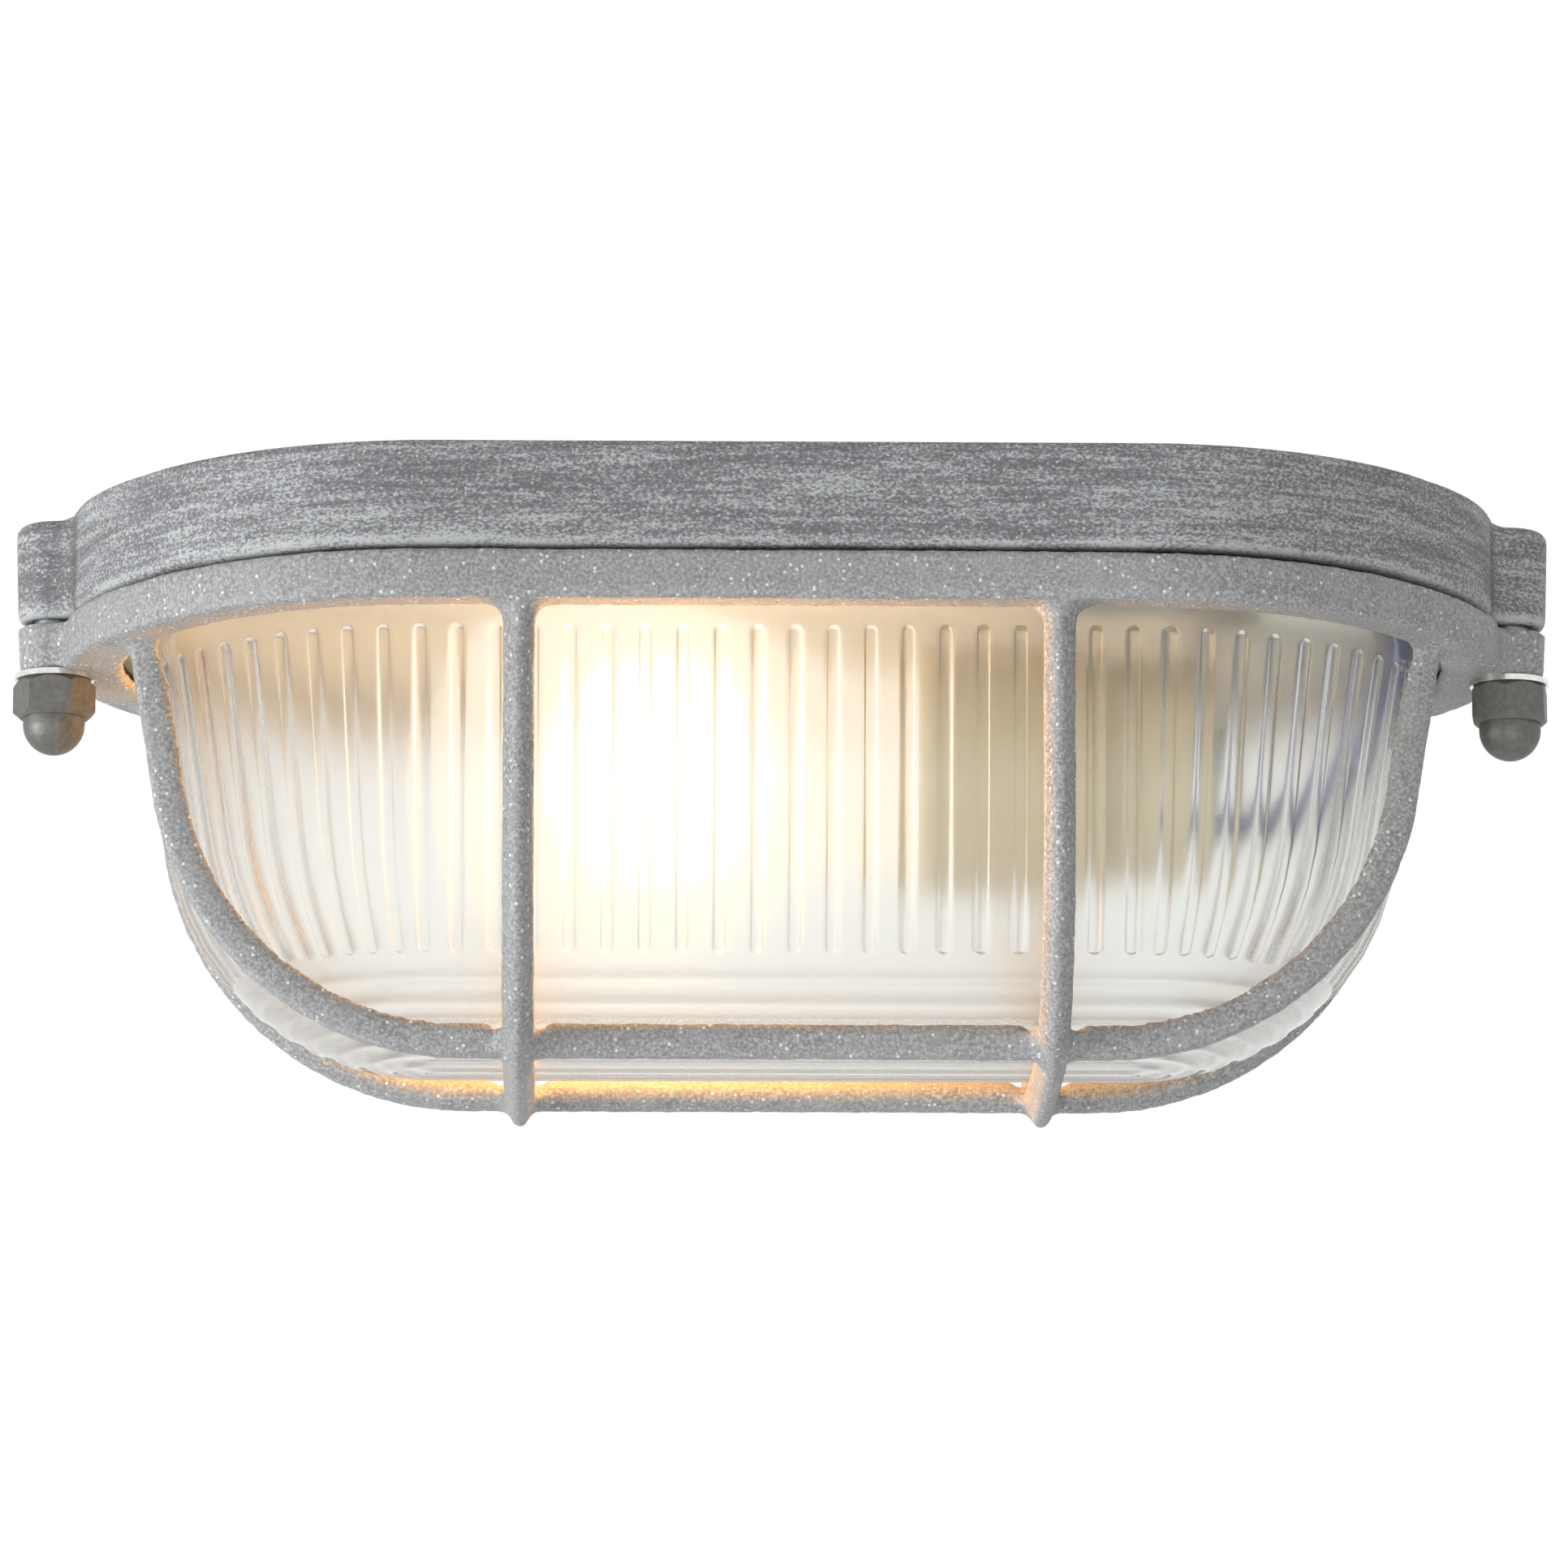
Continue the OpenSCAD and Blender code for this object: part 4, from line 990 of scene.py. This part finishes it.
add(floor_tree, "ShaderNodeOutputMaterial", {
    "Surface": add(floor_tree, "ShaderNodeMixShader", (from_below, top, clear))})
dress(floor, floor_paint)
print("floor at", FLOOR_Z, "m")

# %% [markdown]
# ## Lamps
# The main light comes from the left and a weaker one from below. Both leave out the glass,
# whose smooth face would mirror them as squares. The bulb's own light comes from two small
# lamps in its middle: the pale inside of the tray needs less of it than the guard outside.
# They shine through the bulb's skins, which cast no shadow.

# %% Kinds of lamp
def lights_only(light, pieces):
    """Links a light to the pieces in a list."""
    group = bpy.data.collections.new(light.name)
    for obj in pieces:
        group.objects.link(obj)
    light.light_linking.receiver_collection = group


def soft_light(name, place, size, watts, colour, lit):
    """Square soft light that faces the lamp, for the pieces in a list."""
    light = bpy.data.lights.new(name, "AREA")
    light.energy, light.size, light.color = watts, size, linear(colour)[:3]
    made = linked(name, light)
    made.location = place
    aim = Vector((0, 0, -0.04)) - Vector(place)
    made.rotation_euler = aim.to_track_quat("-Z", "Y").to_euler()
    lights_only(made, lit)


def bulb_light(name, watts, colour, lit):
    """Light of the bulb, for the pieces in a list."""
    light = bpy.data.lights.new(name, "POINT")
    light.energy, light.shadow_soft_size, light.color = watts, 16 * MM, linear(colour)[:3]
    made = linked(name, light)
    made.location = (HOT_X * MM, 0, AXIS_Z * MM)
    made.visible_camera = made.visible_transmission = made.visible_glossy = False
    lights_only(made, lit)


# %% The four lamps
pieces = [o for o in bpy.context.scene.objects if o.type == "MESH"]
but_glass = [o for o in pieces if o is not dome]
outside = [guard] + [NODES[n] for n in (
    "cap_nut_left", "cap_nut_right", "lock_washer_left", "lock_washer_right")]
inside = [o for o in pieces if o not in outside]
soft_light("light from the left", (-1.3, -0.5, -0.35), size=0.7, watts=17,
           colour="#ffffff", lit=but_glass)
soft_light("light from below", (0.1, -0.8, -0.5), size=0.7, watts=2.5,
           colour="#ffffff", lit=but_glass)
bulb_light("bulb inside the glass", watts=0.24, colour="#ffce90", lit=inside)
bulb_light("bulb on the guard", watts=0.6, colour="#ffac48", lit=outside)
bulb.visible_shadow = middle.visible_shadow = False

# %% [markdown]
# ## Camera
# The camera stands 1.4 m away, nearly in front of the lamp and 12 degrees below it. Its
# lens gives the photograph's scale of 8.85 pixels to the millimetre at the lamp's middle.

# %% Camera
PIXELS_PER_MM, PIXELS_ACROSS, SENSOR = 8.85, 1932, 36
FOCUS = Vector((0.00015, 0.0, -0.037))
DISTANCE, AZIMUTH, ELEVATION = 1.4, math.radians(1.12), math.radians(11.93)
camera = linked("camera", bpy.data.cameras.new("camera"))
camera.location = FOCUS + DISTANCE * Vector((
    -math.sin(AZIMUTH) * math.cos(ELEVATION), -math.cos(AZIMUTH) * math.cos(ELEVATION),
    -math.sin(ELEVATION)))
camera.rotation_euler = (FOCUS - camera.location).to_track_quat("-Z", "Y").to_euler()
camera.data.sensor_width = SENSOR
camera.data.lens = PIXELS_PER_MM / MM * DISTANCE / PIXELS_ACROSS * SENSOR
camera.data.clip_start = 0.05
bpy.context.scene.camera = camera
bpy.context.scene.view_settings.view_transform = "Standard"
print("lens in mm:", round(camera.data.lens, 1))
